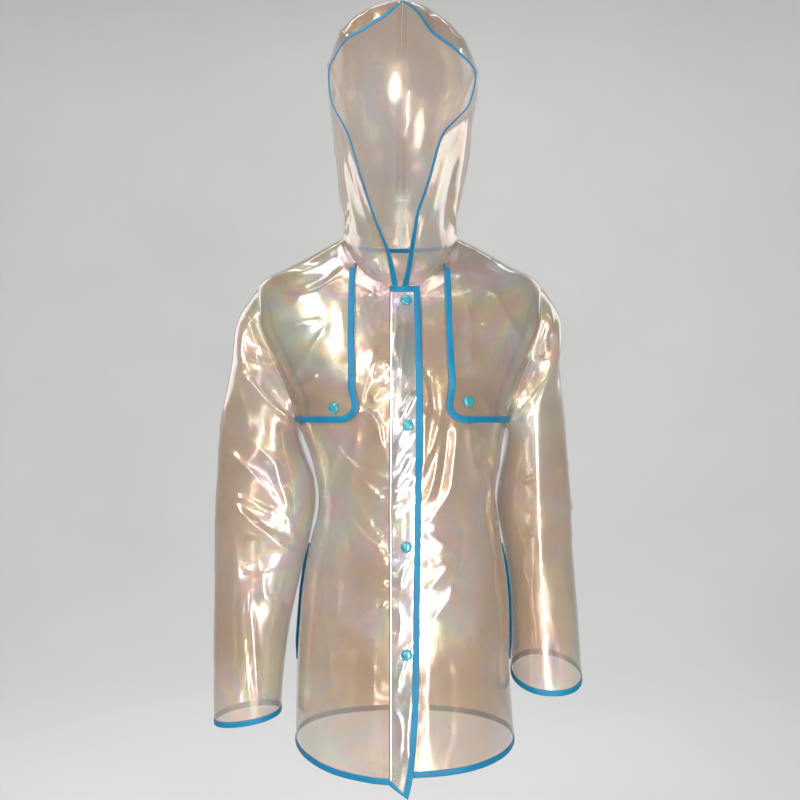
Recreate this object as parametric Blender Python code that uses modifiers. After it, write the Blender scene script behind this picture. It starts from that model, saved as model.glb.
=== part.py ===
"""Hooded raincoat of clear film with bound edges, hanging as it is worn.

Frame: metres, +Z up, the front faces -Y, +X is the wearer's left. The origin is
the middle of the neck base, level with the shoulders, where the wearer holds it.
Tables are in millimetres. The coat closes right over left.
"""
import math

import bmesh
import bpy
import numpy as np
from mathutils import Vector

for old in list(bpy.data.objects):
    bpy.data.objects.remove(old, do_unlink=True)

# ---------------------------------------------------------------- driving sizes
MM = 0.001
WALL = 1.2            # film wall
SEAM = 0.6            # gap left between two pieces at a seam
BIND = 8.0            # width of the folded tape on a free edge
BIND_THICK = 2.2      # two layers of tape with the film's edge between them
SEAM_BIND = 6.0       # width of the tape on an inner seam
ROUND = 2.2           # exponent of the body's rings: a little squarer than an ellipse

NECK_HALF = 84.0      # half width of the neckline
NECK_FRONT_Z = -62.0
NECK_BACK_Z = 12.0
HIGH_Z = 15.0         # high point of the shoulder
TIP_HALF = 198.0      # half of the shoulder width
TIP_Z = -48.0
UNDER_Z = -255.0      # underarm
HIGH_U = 0.344        # the column that meets the high point
FLAP_U = 0.25         # the column on the storm flap's inner edge

PLACKET_SEAM = -19.0  # x of the seam that joins placket and right front
UNDERLAP = -15.0      # x of the left front's edge, under the placket
PLACKET_OUT = 3.2     # how far the placket stands off the left front
FLAP_OUT = 4.2        # how far a storm flap stands off its front
FACING_IN = 2.8       # how far the facing lies behind the left front
FLAP_Z = -247.0       # lower edge of the storm flaps
FLAP_CORNER = 28.0
SNAP_R = 7.5
SNAP_H = 3.2


def table(columns, rows):
    return {name: np.array([row[i] for row in rows], float) for i, name in enumerate(columns.split())}


# Rings of the body, hem to shoulder: middle, half width, depth to the front and back.
BODY = table("z mid half front back", [
    (-760,  1.0, 156.5, 138, 126),
    (-703,  1.0, 156.0, 136, 124),
    (-610, -1.0, 153.0, 132, 120),
    (-507,  1.5, 149.0, 128, 110),
    (-420,  2.5, 137.0, 127,  98),
    (-362,  5.0, 124.5, 127,  91),
    (-310,  3.0, 133.0, 129,  98),
    (-255, -2.0, 149.0, 131, 109),
    (-200, -3.5, 171.0, 126, 108),
    (-150, -5.0, 192.0, 116, 103),
    (-100, -6.0, 213.0, 100,  93),
    (-75,  -6.0, 210.0,  90,  86),
    (-48,  -6.0, 198.0,  75,  77),
    (-27,  -5.5, 160.0,  56,  71),
    (-5,   -5.0, 120.2,  43,  67),
    (15,   -5.0,  84.0,  34,  62),
])
# Depth of the armhole seam to the front and back of the shoulder line.
ARMHOLE = table("z front back", [
    (-255,  0,  0),
    (-254, 14, 13),
    (-251, 28, 26),
    (-245, 40, 38),
    (-235, 48, 46),
    (-215, 55, 53),
    (-190, 51, 52),
    (-173, 46, 50),
    (-150, 42, 49),
    (-125, 43, 48),
    (-100, 43, 44),
    (-80,  36, 36),
    (-65,  25, 25),
    (-55,  14, 14),
    (-48,   0,  0),
])
# Sleeves: outer and inner fold lines (x outwards from the origin), middle and half of the depth.
SLEEVE = {
    "right": table("outer outer_z inner inner_z mid_y half_y", [
        (204.0,  -48, 153.4, -254, 0, 50),
        (220.0,  -70, 153.6, -258, 0, 53),
        (233.0,  -90, 153.0, -262, 0, 57),
        (242.0, -120, 151.5, -270, 0, 60),
        (248.0, -165, 147.0, -284, 0, 61),
        (258.0, -217, 139.0, -306, 0, 60),
        (267.0, -275, 130.0, -332, 0, 58),
        (271.0, -345, 127.5, -362, -2, 56),
        (272.0, -415, 135.5, -412, -6, 54),
        (272.5, -480, 149.5, -472, -10, 51),
        (272.5, -555, 165.5, -548, -13, 48),
        (272.5, -625, 173.5, -616, -14, 46),
        (271.2, -678, 177.0, -664, -14, 45),
    ]),
    "left": table("outer outer_z inner inner_z mid_y half_y", [
        (191.5,  -48, 149.4, -254, 0, 50),
        (209.0,  -70, 149.6, -258, 0, 53),
        (222.0,  -94, 149.6, -262, 0, 57),
        (225.0, -120, 149.2, -268, 0, 60),
        (222.5, -160, 147.5, -282, 1, 61),
        (230.0, -225, 143.5, -304, 4, 60),
        (237.0, -295, 138.0, -332, 7, 58),
        (242.5, -362, 135.0, -366, 10, 56),
        (246.0, -430, 144.5, -424, 13, 54),
        (250.5, -500, 155.0, -494, 15, 52),
        (255.0, -565, 157.5, -560, 16, 50),
        (259.6, -622, 157.5, -618, 16, 50),
    ]),
}
CUFF_DIP = {"right": 0.0, "left": 16.0}      # how much lower a cuff hangs in front
# Hood: face edge, side of the head and middle seam, neck to peak.
HOOD = {
    "right": table("v edge_x edge_y edge_z side_x side_y side_z seam_x seam_y seam_z", [
        (0.00,   -9.0,  -87, -60.5,  -89.0,   0,  16,  -5.0,  62,  13),
        (0.09,  -16.5, -109, -28,    -86.5,   2,  38,  -5.0,  77,  45),
        (0.22,  -37.0, -120,  22,    -92.0,   5,  80,  -5.0,  98,  88),
        (0.36,  -56.0, -123,  77,    -97.0,   8, 132,  -4.5, 115, 145),
        (0.50,  -75.0, -117, 136,   -104.0,  10, 182,  -4.0, 124, 200),
        (0.63,  -98.7, -100, 189,   -109.0,   8, 228,  -3.5, 120, 255),
        (0.74, -103.5,  -80, 232,   -107.0,   0, 268,  -3.0,  98, 305),
        (0.83,  -84.0,  -62, 275,    -92.0, -10, 306,  -3.0,  60, 338),
        (0.91,  -50.0,  -56, 301,    -64.0, -15, 336,  -2.5,  15, 350),
        (0.96,  -24.0,  -60, 316,    -34.0, -34, 342,  -2.0, -22, 348),
        (1.00,   -3.0,  -68, 333,     -3.0, -68, 333,  -2.0, -68, 333),
    ]),
    "left": table("v edge_x edge_y edge_z side_x side_y side_z seam_x seam_y seam_z", [
        (0.00,   -2.0,  -87, -60.5,   79.0,   0,  16,  -5.0,  62,  13),
        (0.09,    4.0, -110, -27,     76.0,   2,  38,  -5.0,  77,  45),
        (0.22,   13.5, -122,  20,     83.0,   5,  80,  -5.0,  98,  88),
        (0.36,   31.0, -126,  74,     91.0,   8, 132,  -4.5, 115, 145),
        (0.50,   48.0, -122, 131,     99.0,  10, 182,  -4.0, 124, 200),
        (0.63,   89.0, -106, 182,    106.0,   8, 228,  -3.5, 120, 255),
        (0.74,   97.0,  -85, 226,    102.0,   0, 268,  -3.0,  98, 305),
        (0.83,   74.0,  -64, 263,     82.0, -10, 304,  -3.0,  60, 338),
        (0.91,   38.0,  -57, 294,     48.0, -15, 335,  -2.5,  15, 350),
        (0.96,   18.0,  -63, 319,     26.0, -34, 342,  -2.0, -22, 348),
        (1.00,   -1.0,  -68, 333,     -1.0, -68, 333,  -2.0, -68, 333),
    ]),
}
# Free edge of the placket.
PLACKET = table("z edge", [
    (-740,  4.0),
    (-722,  8.5),
    (-695, 12.5),
    (-610, 17.8),
    (-427, 20.4),
    (-217, 23.0),
    (-64,  20.5),
])
HEM = {"right": (-703.0, -720.0), "left": (-703.0, -712.0), "back": (-703.0, -706.0)}   # side, middle
SNAPS = table("x z", [(2.3, -84), (4.7, -251), (2.4, -411), (3.0, -552)])
FLAP_SNAP = {"right": (-92.0, -228.0), "left": (83.5, -219.5)}
POCKET = table("z", [(-424,), (-466,), (-508,), (-550,), (-590,)])
SIGN = {"right": -1.0, "left": 1.0}

COLS = [0, .10, .18, .25, .295, .325, .344, .46, .58, .70, .85, 1.0]
UPPER = [0, .02, .07, .17, .32, .48, .64, .79, .90, .97, 1.0]
LOWER_ROWS = 12
SLEEVE_RINGS = 18
HOOD_ROWS = 16


# ---------------------------------------------------------------- curves
def slopes(xs, ys):
    h, d = np.diff(xs), np.diff(ys) / np.diff(xs)
    m = np.zeros(len(xs))
    m[0], m[-1] = d[0], d[-1]
    for i in range(1, len(xs) - 1):
        if d[i - 1] * d[i] > 0:
            a, b = 2 * h[i] + h[i - 1], h[i] + 2 * h[i - 1]
            m[i] = (a + b) / (a / d[i - 1] + b / d[i])
    return m


def curve(xs, ys):
    """A smooth curve through the rows that never overshoots them."""
    xs, ys = np.asarray(xs, float), np.asarray(ys, float)
    m = slopes(xs, ys)

    def at(x):
        x = np.clip(x, xs[0], xs[-1])
        i = min(max(int(np.searchsorted(xs, x)) - 1, 0), len(xs) - 2)
        h = xs[i + 1] - xs[i]
        t = (x - xs[i]) / h
        return float(ys[i] * (1 + 2 * t) * (1 - t) ** 2 + m[i] * h * t * (1 - t) ** 2
                     + ys[i + 1] * t * t * (3 - 2 * t) + m[i + 1] * h * t * t * (t - 1))
    return at


def curves(tab, key):
    return {name: curve(tab[key], tab[name]) for name in tab if name != key}


BODY_AT = curves(BODY, "z")
ARM_AT = curves(ARMHOLE, "z")
PLACKET_AT = curves(PLACKET, "z")


def mix(a, b, t):
    return a + (b - a) * t


def smooth(t):
    t = min(max(t, 0.0), 1.0)
    return t * t * (3 - 2 * t)


# ---------------------------------------------------------------- the body's form
def unit(v):
    return v / np.maximum(np.linalg.norm(v, axis=-1, keepdims=True), 1e-9)


def depth(x, z, face):
    """How far the body's ring reaches to the front or back at x and z."""
    a = abs(x - BODY_AT["mid"](z)) / BODY_AT["half"](z)
    return BODY_AT[face](z) * max(1 - min(a, 1.0) ** ROUND, 0.0) ** (1 / ROUND)


def form_normal(x, z):
    """Outward normal of the front at x and z."""
    d = 2.0
    dx = (depth(x + d, z, "front") - depth(x - d, z, "front")) / (2 * d)
    dz = (depth(x, z + d, "front") - depth(x, z - d, "front")) / (2 * d)
    return unit(np.array([-dx, -1.0, -dz]))


def top_line(u, face, start):
    """Neckline, then shoulder seam: half distance and height for a column."""
    if u <= HIGH_U:
        a = mix(start, NECK_HALF, u / HIGH_U)
        f = abs(a) / NECK_HALF
        if face == "front":
            return a, mix(NECK_FRONT_Z, HIGH_Z, f ** 2.6)
        return a, mix(NECK_BACK_Z, HIGH_Z, f ** 2)
    s = (u - HIGH_U) / (1 - HIGH_U)
    return mix(NECK_HALF, TIP_HALF, s), mix(HIGH_Z, TIP_Z, s)


def arm_reach(z, face):
    y = ARM_AT[face](z)
    return BODY_AT["half"](z) * (1 - min(y / BODY_AT[face](z), 1.0) ** ROUND) ** (1 / ROUND)


def body_point(u, row, face, side, start_x=None, hem=None, out=0.0):
    """row -1 is the hem, 0 the underarm and 1 the neckline and shoulder seam."""
    sign = SIGN[side]
    power = 2 / ROUND

    def reach(w, z_half):
        return z_half * math.sin(w * math.pi / 2) ** power

    def column(w):
        """x and z of a whole column, measured from the coat's middle."""
        if row <= 0:
            low = mix(hem[0], hem[1], math.cos(w * math.pi / 2) ** 1.5)
            z = mix(UNDER_Z, low, -row)
            return BODY_AT["mid"](z) + sign * reach(w, BODY_AT["half"](z)), z
        a_top, z_top = top_line(w, face, 0.0)
        z = mix(UNDER_Z, z_top, row)
        edge_z = mix(UNDER_Z, TIP_Z, row)
        edge = arm_reach(edge_z, face)
        w_edge = max((w - FLAP_U) / (1 - FLAP_U), 0.0) ** 2
        a_x = mix(reach(w, BODY_AT["half"](UNDER_Z)), a_top, row)
        a_x += (edge - mix(BODY_AT["half"](UNDER_Z), TIP_HALF, row)) * w_edge
        ratio = min(edge / BODY_AT["half"](edge_z), 1.0)
        w_arm = math.asin(ratio ** (ROUND / 2)) / (math.pi / 2)
        a_ring = reach(w * w_arm, BODY_AT["half"](z))
        a = mix(a_ring, a_x, smooth((row - .02) / .25))
        return BODY_AT["mid"](z) + sign * a, z

    x, z = column(u)
    if start_x is not None and u < FLAP_U:
        x1, z1 = column(FLAP_U)
        x = mix(start_x, x1, u / FLAP_U)
        if row > 0:
            f = min(abs(x - BODY_AT["mid"](NECK_FRONT_Z)) / NECK_HALF, 1.0)
            z = mix(UNDER_Z, mix(NECK_FRONT_Z, HIGH_Z, f ** 2.6), row)
    y = depth(x, z, face)
    if row > 0:
        y_end = SEAM / 2 if u >= HIGH_U - 1e-6 else y
        y = mix(y, y_end, row ** 30)
    if u > 0.999:
        y = max(y, SEAM / 2)
    y += out
    return np.array([x, -y if face == "front" else y, z])


def rows_of():
    return [-1 + i / LOWER_ROWS for i in range(LOWER_ROWS)] + UPPER


def lift(u):
    """The right front rises to meet the placket that crosses the left front."""
    return PLACKET_OUT * max(1 - u / 0.6, 0.0) ** 2


def front_point(side, u, row):
    start = PLACKET_SEAM - SEAM / 2 if side == "right" else UNDERLAP
    out = lift(u) if side == "right" else 0.0
    return body_point(u, row, "front", side, start, HEM[side], out)


def back_point(u, row):
    side = "left" if u >= 0 else "right"
    return body_point(abs(u), row, "back", side, None, HEM["back"])


def front_grid(side):
    return np.array([[front_point(side, u, r) for u in COLS] for r in rows_of()])


def back_grid():
    cols = [-u for u in reversed(COLS[1:])] + COLS
    cols = [u for u in cols if abs(u) not in (.10, .295, .46)]
    return np.array([[back_point(u, r) for u in cols] for r in rows_of()])


# ---------------------------------------------------------------- hood
def bezier(p0, p1, p2, p3, t):
    return p0 * (1 - t) ** 3 + 3 * p1 * t * (1 - t) ** 2 + 3 * p2 * t * t * (1 - t) + p3 * t ** 3


def hood_row(at, v, u, side):
    """A row runs from the face edge round the side of the head to the middle seam."""
    edge = np.array([at[k](v) for k in ("edge_x", "edge_y", "edge_z")])
    mid = np.array([at[k](v) for k in ("side_x", "side_y", "side_z")])
    seam = np.array([at[k](v) for k in ("seam_x", "seam_y", "seam_z")])
    seam[0] += SIGN[side] * mix(SEAM / 2, 1.0, smooth((v - .7) / .3))
    along = (seam - edge) * (0, 1, 1)
    along /= max(np.linalg.norm(along), 1e-9)
    if u < 0.45:
        t = u / 0.45
        reach = np.linalg.norm(mid - edge)
        return bezier(edge, mix(edge, mid, .35), mid - along * reach * .38, mid, t)
    t = (u - 0.45) / 0.55
    reach = abs(np.dot(seam - mid, along))
    cross = np.array([-SIGN[side], 0, 0]) * abs(seam[0] - mid[0])
    return bezier(mid, mid + along * reach * .55, seam - cross * .5, seam, t)


def neckline(side):
    """The panels' own points along half of the neckline, front edge to middle of the back."""
    top = [front_point(side, u, 1.0) for u in COLS if u <= HIGH_U]
    back = [back_point(u * SIGN[side], 1.0) for u in COLS if u < HIGH_U and u not in (.10, .295)]
    top[-1][1] = 0.0
    return np.array(top + back[::-1])


def draw_in(row, distance):
    """A row of points that starts further in, spaced as before."""
    step = np.r_[0, np.cumsum(np.linalg.norm(np.diff(row, axis=0), axis=1))]
    new = distance + step * (1 - distance / step[-1])
    return np.array([[np.interp(s, step, row[:, k]) for k in range(3)] for s in new])


def hood_grid(side, rows=HOOD_ROWS):
    at = curves(HOOD[side], "v")
    neck = neckline(side)
    start_x = float(HOOD[side]["edge_x"][0])
    neck[0] = mix(neck[0], neck[1], (start_x - neck[0, 0]) / (neck[1, 0] - neck[0, 0]))
    us = np.r_[0, np.cumsum(np.linalg.norm(np.diff(neck, axis=0), axis=1))]
    us /= us[-1]
    neck[:, 2] += 1.4
    neck[-1, 0] += SIGN[side] * SEAM / 2
    grid = []
    for i in range(rows + 1):
        v = i / rows
        fade = max(1 - v / 0.25, 0.0) ** 2
        grid.append([hood_row(at, v, u, side) + (neck[j] - hood_row(at, 0.0, u, side)) * fade
                     for j, u in enumerate(us)])
    return np.array(grid)


# ---------------------------------------------------------------- sleeves
def armhole_loop(side):
    """Top of the shoulder, down the front seam to the underarm, up the back seam."""
    front = [body_point(1.0, r, "front", side, None, HEM[side]) for r in reversed(UPPER)]
    back = [body_point(1.0, r, "back", side, None, HEM["back"]) for r in UPPER]
    front[0][1] = front[-1][1] = 0.0
    return np.array(front + back[1:-1])


def sleeve_grid(side, rings=SLEEVE_RINGS):
    tab = SLEEVE[side]
    sign = SIGN[side]
    mids = np.stack([(tab["outer"] + tab["inner"]) / 2, (tab["outer_z"] + tab["inner_z"]) / 2], 1)
    along = np.r_[0, np.cumsum(np.linalg.norm(np.diff(mids, axis=0), axis=1))]
    at = {k: curve(along, tab[k]) for k in tab}
    loop = armhole_loop(side)
    n = len(UPPER) - 1
    closed = np.vstack([loop, loop[:1]])
    step = np.r_[0, np.cumsum(np.linalg.norm(np.diff(closed, axis=0), axis=1))]
    phi = [math.pi * step[j] / step[n] if j <= n else math.pi * (1 + (step[j] - step[n]) / (step[-1] - step[n]))
           for j in range(len(loop))]

    def ring(s):
        outer = np.array([sign * at["outer"](s), at["mid_y"](s), at["outer_z"](s)])
        inner = np.array([sign * at["inner"](s), at["mid_y"](s), at["inner_z"](s)])
        middle, half = (outer + inner) / 2, (outer - inner) / 2
        pts = []
        for p in phi:
            c, d = math.cos(p), math.sin(p)
            c = math.copysign(abs(c) ** .94, c)
            d = math.copysign(abs(d) ** .94, d)
            pt = middle + half * c + np.array([0, -at["half_y"](s) * d, 0])
            pt[2] -= CUFF_DIP[side] * d * (s / along[-1]) ** 3
            pts.append(pt)
        return np.array(pts)

    low = np.array([(1 - math.cos(p)) / 2 for p in phi])
    start = loop + np.stack([sign * (1.2 + 1.2 * low), 0 * low, 1.0 * low], 1)
    dev = start - ring(0.0)
    grid = []
    for i in range(rings + 1):
        s = along[-1] * (i / rings) ** 1.15
        grid.append(ring(s) + dev * (1 - smooth(s / 90)))
    return np.array(grid)


# ---------------------------------------------------------------- flaps, placket, facing
def flap_grid(side, inset=0.0):
    """Cut to the front's own neckline, shoulder and armhole, and moved out. Its
    inner and lower edges can be drawn in by a width, to leave room for tape."""
    cols = [u for u in COLS if u >= FLAP_U]
    radius = FLAP_CORNER - inset
    corner = [radius * (1 - math.cos(a * math.pi / 8)) for a in range(5)]

    def shifted(p, u, shift, j):
        p[0] += SIGN[side] * shift * (1 - j / (len(cols) - 1)) ** 2
        p[1] = -depth(p[0], p[2], "front") - (lift(u) if side == "right" else 0.0)
        return p
    grid = []
    for k in corner:
        row = []
        for j, u in enumerate(cols):
            z_top = top_line(u, "front", 0.0)[1]
            p = front_point(side, u, (FLAP_Z + inset + k - UNDER_Z) / (z_top - UNDER_Z))
            rise = (radius - k) / radius
            turn = radius * (1 - math.sqrt(max(1 - rise ** 2, 0.0)))
            row.append(shifted(p, u, turn + inset, j))
        grid.append(row)
    for r in UPPER:
        if r > .25:
            row = [front_point(side, u, r) for u in cols]
            if inset:
                row = [shifted(p, u, inset, j) if r < 1 or u < HIGH_U else p
                       for j, (p, u) in enumerate(zip(row, cols))]
            grid.append(row)
    grid = np.array(grid)
    grid = grid + np.array([[form_normal(p[0], p[2]) for p in row] for row in grid]) * FLAP_OUT
    grid[:, -1] += (grid[:, -2] - grid[:, -1]) * (3.6 / np.linalg.norm(grid[:, -2] - grid[:, -1], axis=1))[:, None]
    grid[-1] += (grid[-2] - grid[-1]) * (1.5 / np.linalg.norm(grid[-2] - grid[-1], axis=1))[:, None]
    return grid


def strip_grid(x_left, x_right, z_low, z_high, out, rows):
    grid = []
    for i in range(rows + 1):
        row = []
        for c in (0.0, 0.5, 1.0):
            z = mix(z_low(c), z_high, i / rows)
            x = mix(x_left, x_right(z), c)
            row.append(np.array([x, -depth(x, z, "front") - out, z]))
        grid.append(row)
    return np.array(grid)


def placket_grid(rows=18):
    return strip_grid(PLACKET_SEAM + SEAM / 2, PLACKET_AT["edge"], lambda c: mix(-721.5, -739.0, c),
                      -64.5, PLACKET_OUT, rows)


def facing_grid(rows=14):
    return strip_grid(UNDERLAP, lambda z: 24.0, lambda c: -706.0, -66.0, -FACING_IN, rows)


# ---------------------------------------------------------------- meshes
def material(name, color, roughness, metallic=0.0, alpha=1.0):
    m = bpy.data.materials.get(name) or bpy.data.materials.new(name)
    m.use_nodes = True
    shader = m.node_tree.nodes["Principled BSDF"]
    shader.inputs["Base Color"].default_value = (*color, 1)
    shader.inputs["Roughness"].default_value = roughness
    shader.inputs["Metallic"].default_value = metallic
    shader.inputs["Alpha"].default_value = alpha
    return m


FILM = ("clear_film", (0.62, 0.60, 0.56), 0.25, 0.0, 0.55)
FILM_DOUBLE = ("clear_film_double", (0.66, 0.65, 0.62), 0.25, 0.0, 0.7)
BLUE = ("blue_binding", (0.012, 0.22, 0.46), 0.5)
TEAL = ("turquoise_snap", (0.05, 0.38, 0.48), 0.35)

coat = bpy.data.collections.new("raincoat")
bpy.context.scene.collection.children.link(coat)


def add_mesh(name, bm, mat):
    mesh = bpy.data.meshes.new(name)
    bm.to_mesh(mesh)
    bm.free()
    ob = bpy.data.objects.new(name, mesh)
    coat.objects.link(ob)
    mesh.materials.append(material(*mat))
    mesh.shade_smooth()
    mesh.set_sharp_from_angle(angle=math.radians(50))
    return ob


def sheet(name, grid, mat, flip=False, closed=False, peak=False):
    """An open surface over a grid of rows and columns, made a wall with Solidify."""
    bm = bmesh.new()
    rows, cols = grid.shape[:2]
    if peak:
        vs = [[bm.verts.new(p * MM) for p in row] for row in grid[:-1]]
        tip = bm.verts.new(grid[-1, 0] * MM)
    else:
        vs = [[bm.verts.new(p * MM) for p in row] for row in grid]
    for i in range(len(vs) - 1):
        for j in range(cols if closed else cols - 1):
            k = (j + 1) % cols
            for face in ([vs[i][j], vs[i][k], vs[i + 1][k]], [vs[i][j], vs[i + 1][k], vs[i + 1][j]]):
                bm.faces.new(face[::-1] if flip else face)
    if peak:
        for j in range(cols - 1):
            face = [vs[-1][j], vs[-1][j + 1], tip]
            bm.faces.new(face[::-1] if flip else face)
    ob = add_mesh(name, bm, mat)
    wall = ob.modifiers.new("wall", "SOLIDIFY")
    wall.thickness = WALL * MM
    wall.offset = 0.0
    wall.use_even_offset = False
    return ob


def frames(path, normal, inward, closed):
    """Along an edge: direction away from the film, and the film's normal."""
    n = len(path)
    for i in range(n):
        a = path[(i - 1) % n] if closed or i > 0 else None
        b = path[(i + 1) % n] if closed or i < n - 1 else None
        t1 = unit(path[i] - a) if a is not None else None
        t2 = unit(b - path[i]) if b is not None else None
        t1, t2 = (t2 if t1 is None else t1), (t1 if t2 is None else t2)
        nn = normal[i]

        def side(t):
            o = unit(np.cross(t, nn))
            return o if np.dot(o, inward[i]) < 0 else -o
        o1, o2 = side(t1), side(t2)
        o = unit(o1 + o2)
        o = o / max(np.dot(o, o1), 0.6)
        m = unit(np.cross(o, t1 + t2))
        yield path[i], o, (m if np.dot(m, nn) > 0 else -m)


def loft(name, rings, mat, closed=False):
    bm = bmesh.new()
    rings = [[bm.verts.new(p * MM) for p in ring] for ring in rings]
    n, k = len(rings), len(rings[0])
    for i in range(n if closed else n - 1):
        r0, r1 = rings[i], rings[(i + 1) % n]
        for j in range(k):
            bm.faces.new([r0[j], r0[(j + 1) % k], r1[(j + 1) % k]])
            bm.faces.new([r0[j], r1[(j + 1) % k], r1[j]])
    if not closed:
        bm.faces.new(rings[0])
        bm.faces.new(rings[-1][::-1])
    bmesh.ops.triangulate(bm, faces=bm.faces[:])
    bmesh.ops.recalc_face_normals(bm, faces=bm.faces[:])
    return add_mesh(name, bm, mat)


def sweep(name, path, normal, inward, profile, mat, closed=False):
    """A plain profile along a path: (away from the film, along its normal)."""
    rings = [[p + o * a + m * b for a, b in profile]
             for p, o, m in frames(np.asarray(path, float), normal, inward, closed)]
    return loft(name, rings, mat, closed)


def tape(name, edge, inner, normal, mat, closed=False):
    """Folded tape on a free edge: it fills the band between the edge and where the film starts."""
    n = len(edge)
    rings = []
    for i in range(n):
        a = edge[(i - 1) % n] if closed or i > 0 else edge[i]
        b = edge[(i + 1) % n] if closed or i < n - 1 else edge[i]
        m = unit(np.cross(b - a, inner[i] - edge[i]))
        m = (m if np.dot(m, normal[i]) > 0 else -m) * BIND_THICK / 2
        rings.append([edge[i] + m, edge[i] - m, inner[i] - m, inner[i] + m])
    return loft(name, rings, mat, closed)


def step_in(edge, nxt, distance):
    return edge + unit(nxt - edge) * distance


def flat_band(start, end, thick):
    return [(start, -thick / 2), (end, -thick / 2), (end, thick / 2), (start, thick / 2)]


# ---------------------------------------------------------------- the coat
START = BIND + SEAM       # the film starts this far from a taped edge

panels = {"front_right": front_grid("right"), "front_left": front_grid("left"), "back": back_grid()}
for name, g in panels.items():
    film = g.copy()
    film[0] = step_in(g[0], g[1], START)
    sheet(name, film, FILM, flip=name != "front_left")

# Hem tape: one length round the lower edges of the three panels.
right, back, left = panels["front_right"], panels["back"], panels["front_left"]


def hem_path(i):
    corner_r, corner_l = (right[i, -1] + back[i, 0]) / 2, (left[i, -1] + back[i, -1]) / 2
    return np.vstack([right[i, :-1], corner_r, back[i, 1:-1], corner_l, left[i, 1:-1][::-1]])


edge = hem_path(0)
tape("hem_binding", edge, step_in(edge, hem_path(1), BIND), edge * (1, 1, 0), BLUE)

for side in ("right", "left"):
    sign = SIGN[side]
    g = sleeve_grid(side)
    film = g.copy()
    film[-1] = step_in(g[-1], g[-2], START)
    sheet("sleeve_" + side, film, FILM, flip=side == "left", closed=True)
    tape("cuff_binding_" + side, g[-1], step_in(g[-1], g[-2], BIND), g[-1] - g[-1].mean(axis=0), BLUE, closed=True)

    flap = flap_grid(side, START)
    sheet("storm_flap_" + side, flap, FILM_DOUBLE, flip=side == "right")
    outline = [np.vstack([g[-2::-1, 0], g[0, 1:]]) for g in (flap_grid(side), flap_grid(side, BIND))]
    tape("flap_binding_" + side, *outline, np.tile([0, -1.0, .3], (len(outline[0]), 1)), BLUE)

    # Tape on the armhole's seam allowance, turned towards the body.
    loop = armhole_loop(side)
    inn = loop.mean(axis=0) - loop
    inn[:, 0] = 0
    inn = unit(inn)
    sweep("armhole_binding_" + side, loop + inn * 2.2, inn, np.tile([-sign, 0, 0], (len(loop), 1)),
          flat_band(-SEAM_BIND, 0.0, 0.9), BLUE, closed=True)

    # Tape on the edge of the pocket in the side seam.
    path = [(BODY_AT["mid"](z) + sign * (BODY_AT["half"](z) + 1.55), -8.0, z) for z in POCKET["z"]]
    sweep("pocket_binding_" + side, path, np.tile([sign, 0, 0], (len(path), 1)),
          np.tile([0, 1.0, 0], (len(path), 1)), flat_band(-6.0, 2.0, 1.0), BLUE)

# Hood: two halves, and one length of tape up one face edge, over the peak and down the other.
hoods = {side: hood_grid(side) for side in ("right", "left")}


def hood_film(side, distance):
    g = hoods[side].copy()
    g[:-1] = [draw_in(row, distance) for row in g[:-1]]
    seam = np.vstack([g[-2, -1], g[-1, 0]])
    g[-1] = step_in(seam[1], seam[0], distance + 3.0)
    return g


for side in ("right", "left"):
    sheet("hood_" + side, hood_film(side, START), FILM, flip=side == "right", peak=True)


def face_edge(distance):
    r, l = hood_film("right", distance), hood_film("left", distance)
    if distance == 0:
        r, l = hoods["right"], hoods["left"]
    return np.vstack([r[:-1, 0], (r[-1, 0] + l[-1, 0]) / 2, l[:-1, 0][::-1]])


edge, inner = face_edge(0), face_edge(BIND)
for k, n in ((0, 1), (-1, -2)):
    edge[k], inner[k] = edge[k] + unit(edge[n] - edge[k]) * 3, inner[k] + unit(inner[n] - inner[k]) * 3
tape("hood_binding", edge, inner, edge - (0, 20, 150), BLUE)

# Tape on the neck seam's allowance, turned down inside.
path = np.vstack([neckline("right"), neckline("left")[::-1][1:]])
inn = np.array([BODY_AT["mid"](0), -8.0, 0]) - path
inn[:, 2] = 0
inn = unit(inn)
sweep("neck_binding", path + inn * 2.6 + [[0, 0, -1.0]], inn, np.tile([0, 0, -1.0], (len(path), 1)),
      flat_band(-SEAM_BIND, 0.0, 0.9), BLUE)

# Placket over the left front: taped across the top, down its free edge and along its foot.
g = placket_grid()
film = g.copy()
film[-1], film[0] = step_in(g[-1], g[-2], START), step_in(g[0], g[1], START)
film[1:-1, -1] = step_in(g[1:-1, -1], g[1:-1, -2], START)
film[-1, -1] += unit(g[-1, -2] - g[-1, -1]) * START
film[0, -1] += unit(g[0, -2] - g[0, -1]) * START
sheet("placket", film, FILM_DOUBLE)
edge, inner = g.copy(), g.copy()
inner[-1], inner[0] = step_in(g[-1], g[-2], BIND), step_in(g[0], g[1], BIND)
inner[1:-1, -1] = step_in(g[1:-1, -1], g[1:-1, -2], BIND)
inner[-1, -1] += unit(g[-1, -2] - g[-1, -1]) * BIND
inner[0, -1] += unit(g[0, -2] - g[0, -1]) * BIND
edge, inner = (np.vstack([h[-1], h[-2:0:-1, -1], h[0, ::-1]]) for h in (edge, inner))
tape("placket_binding", edge, inner, np.tile([0, -1.0, 0], (len(edge), 1)), BLUE)

# Facing inside the left front, taped on the edge that shows through the film.
g = facing_grid()
film = g.copy()
film[:, -1] = step_in(g[:, -1], g[:, -2], 6.0 + SEAM)
sheet("facing", film, FILM)
tape("facing_binding", g[:, -1], step_in(g[:, -1], g[:, -2], 6.0), np.tile([0, -1.0, 0], (len(g), 1)), BLUE)


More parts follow.
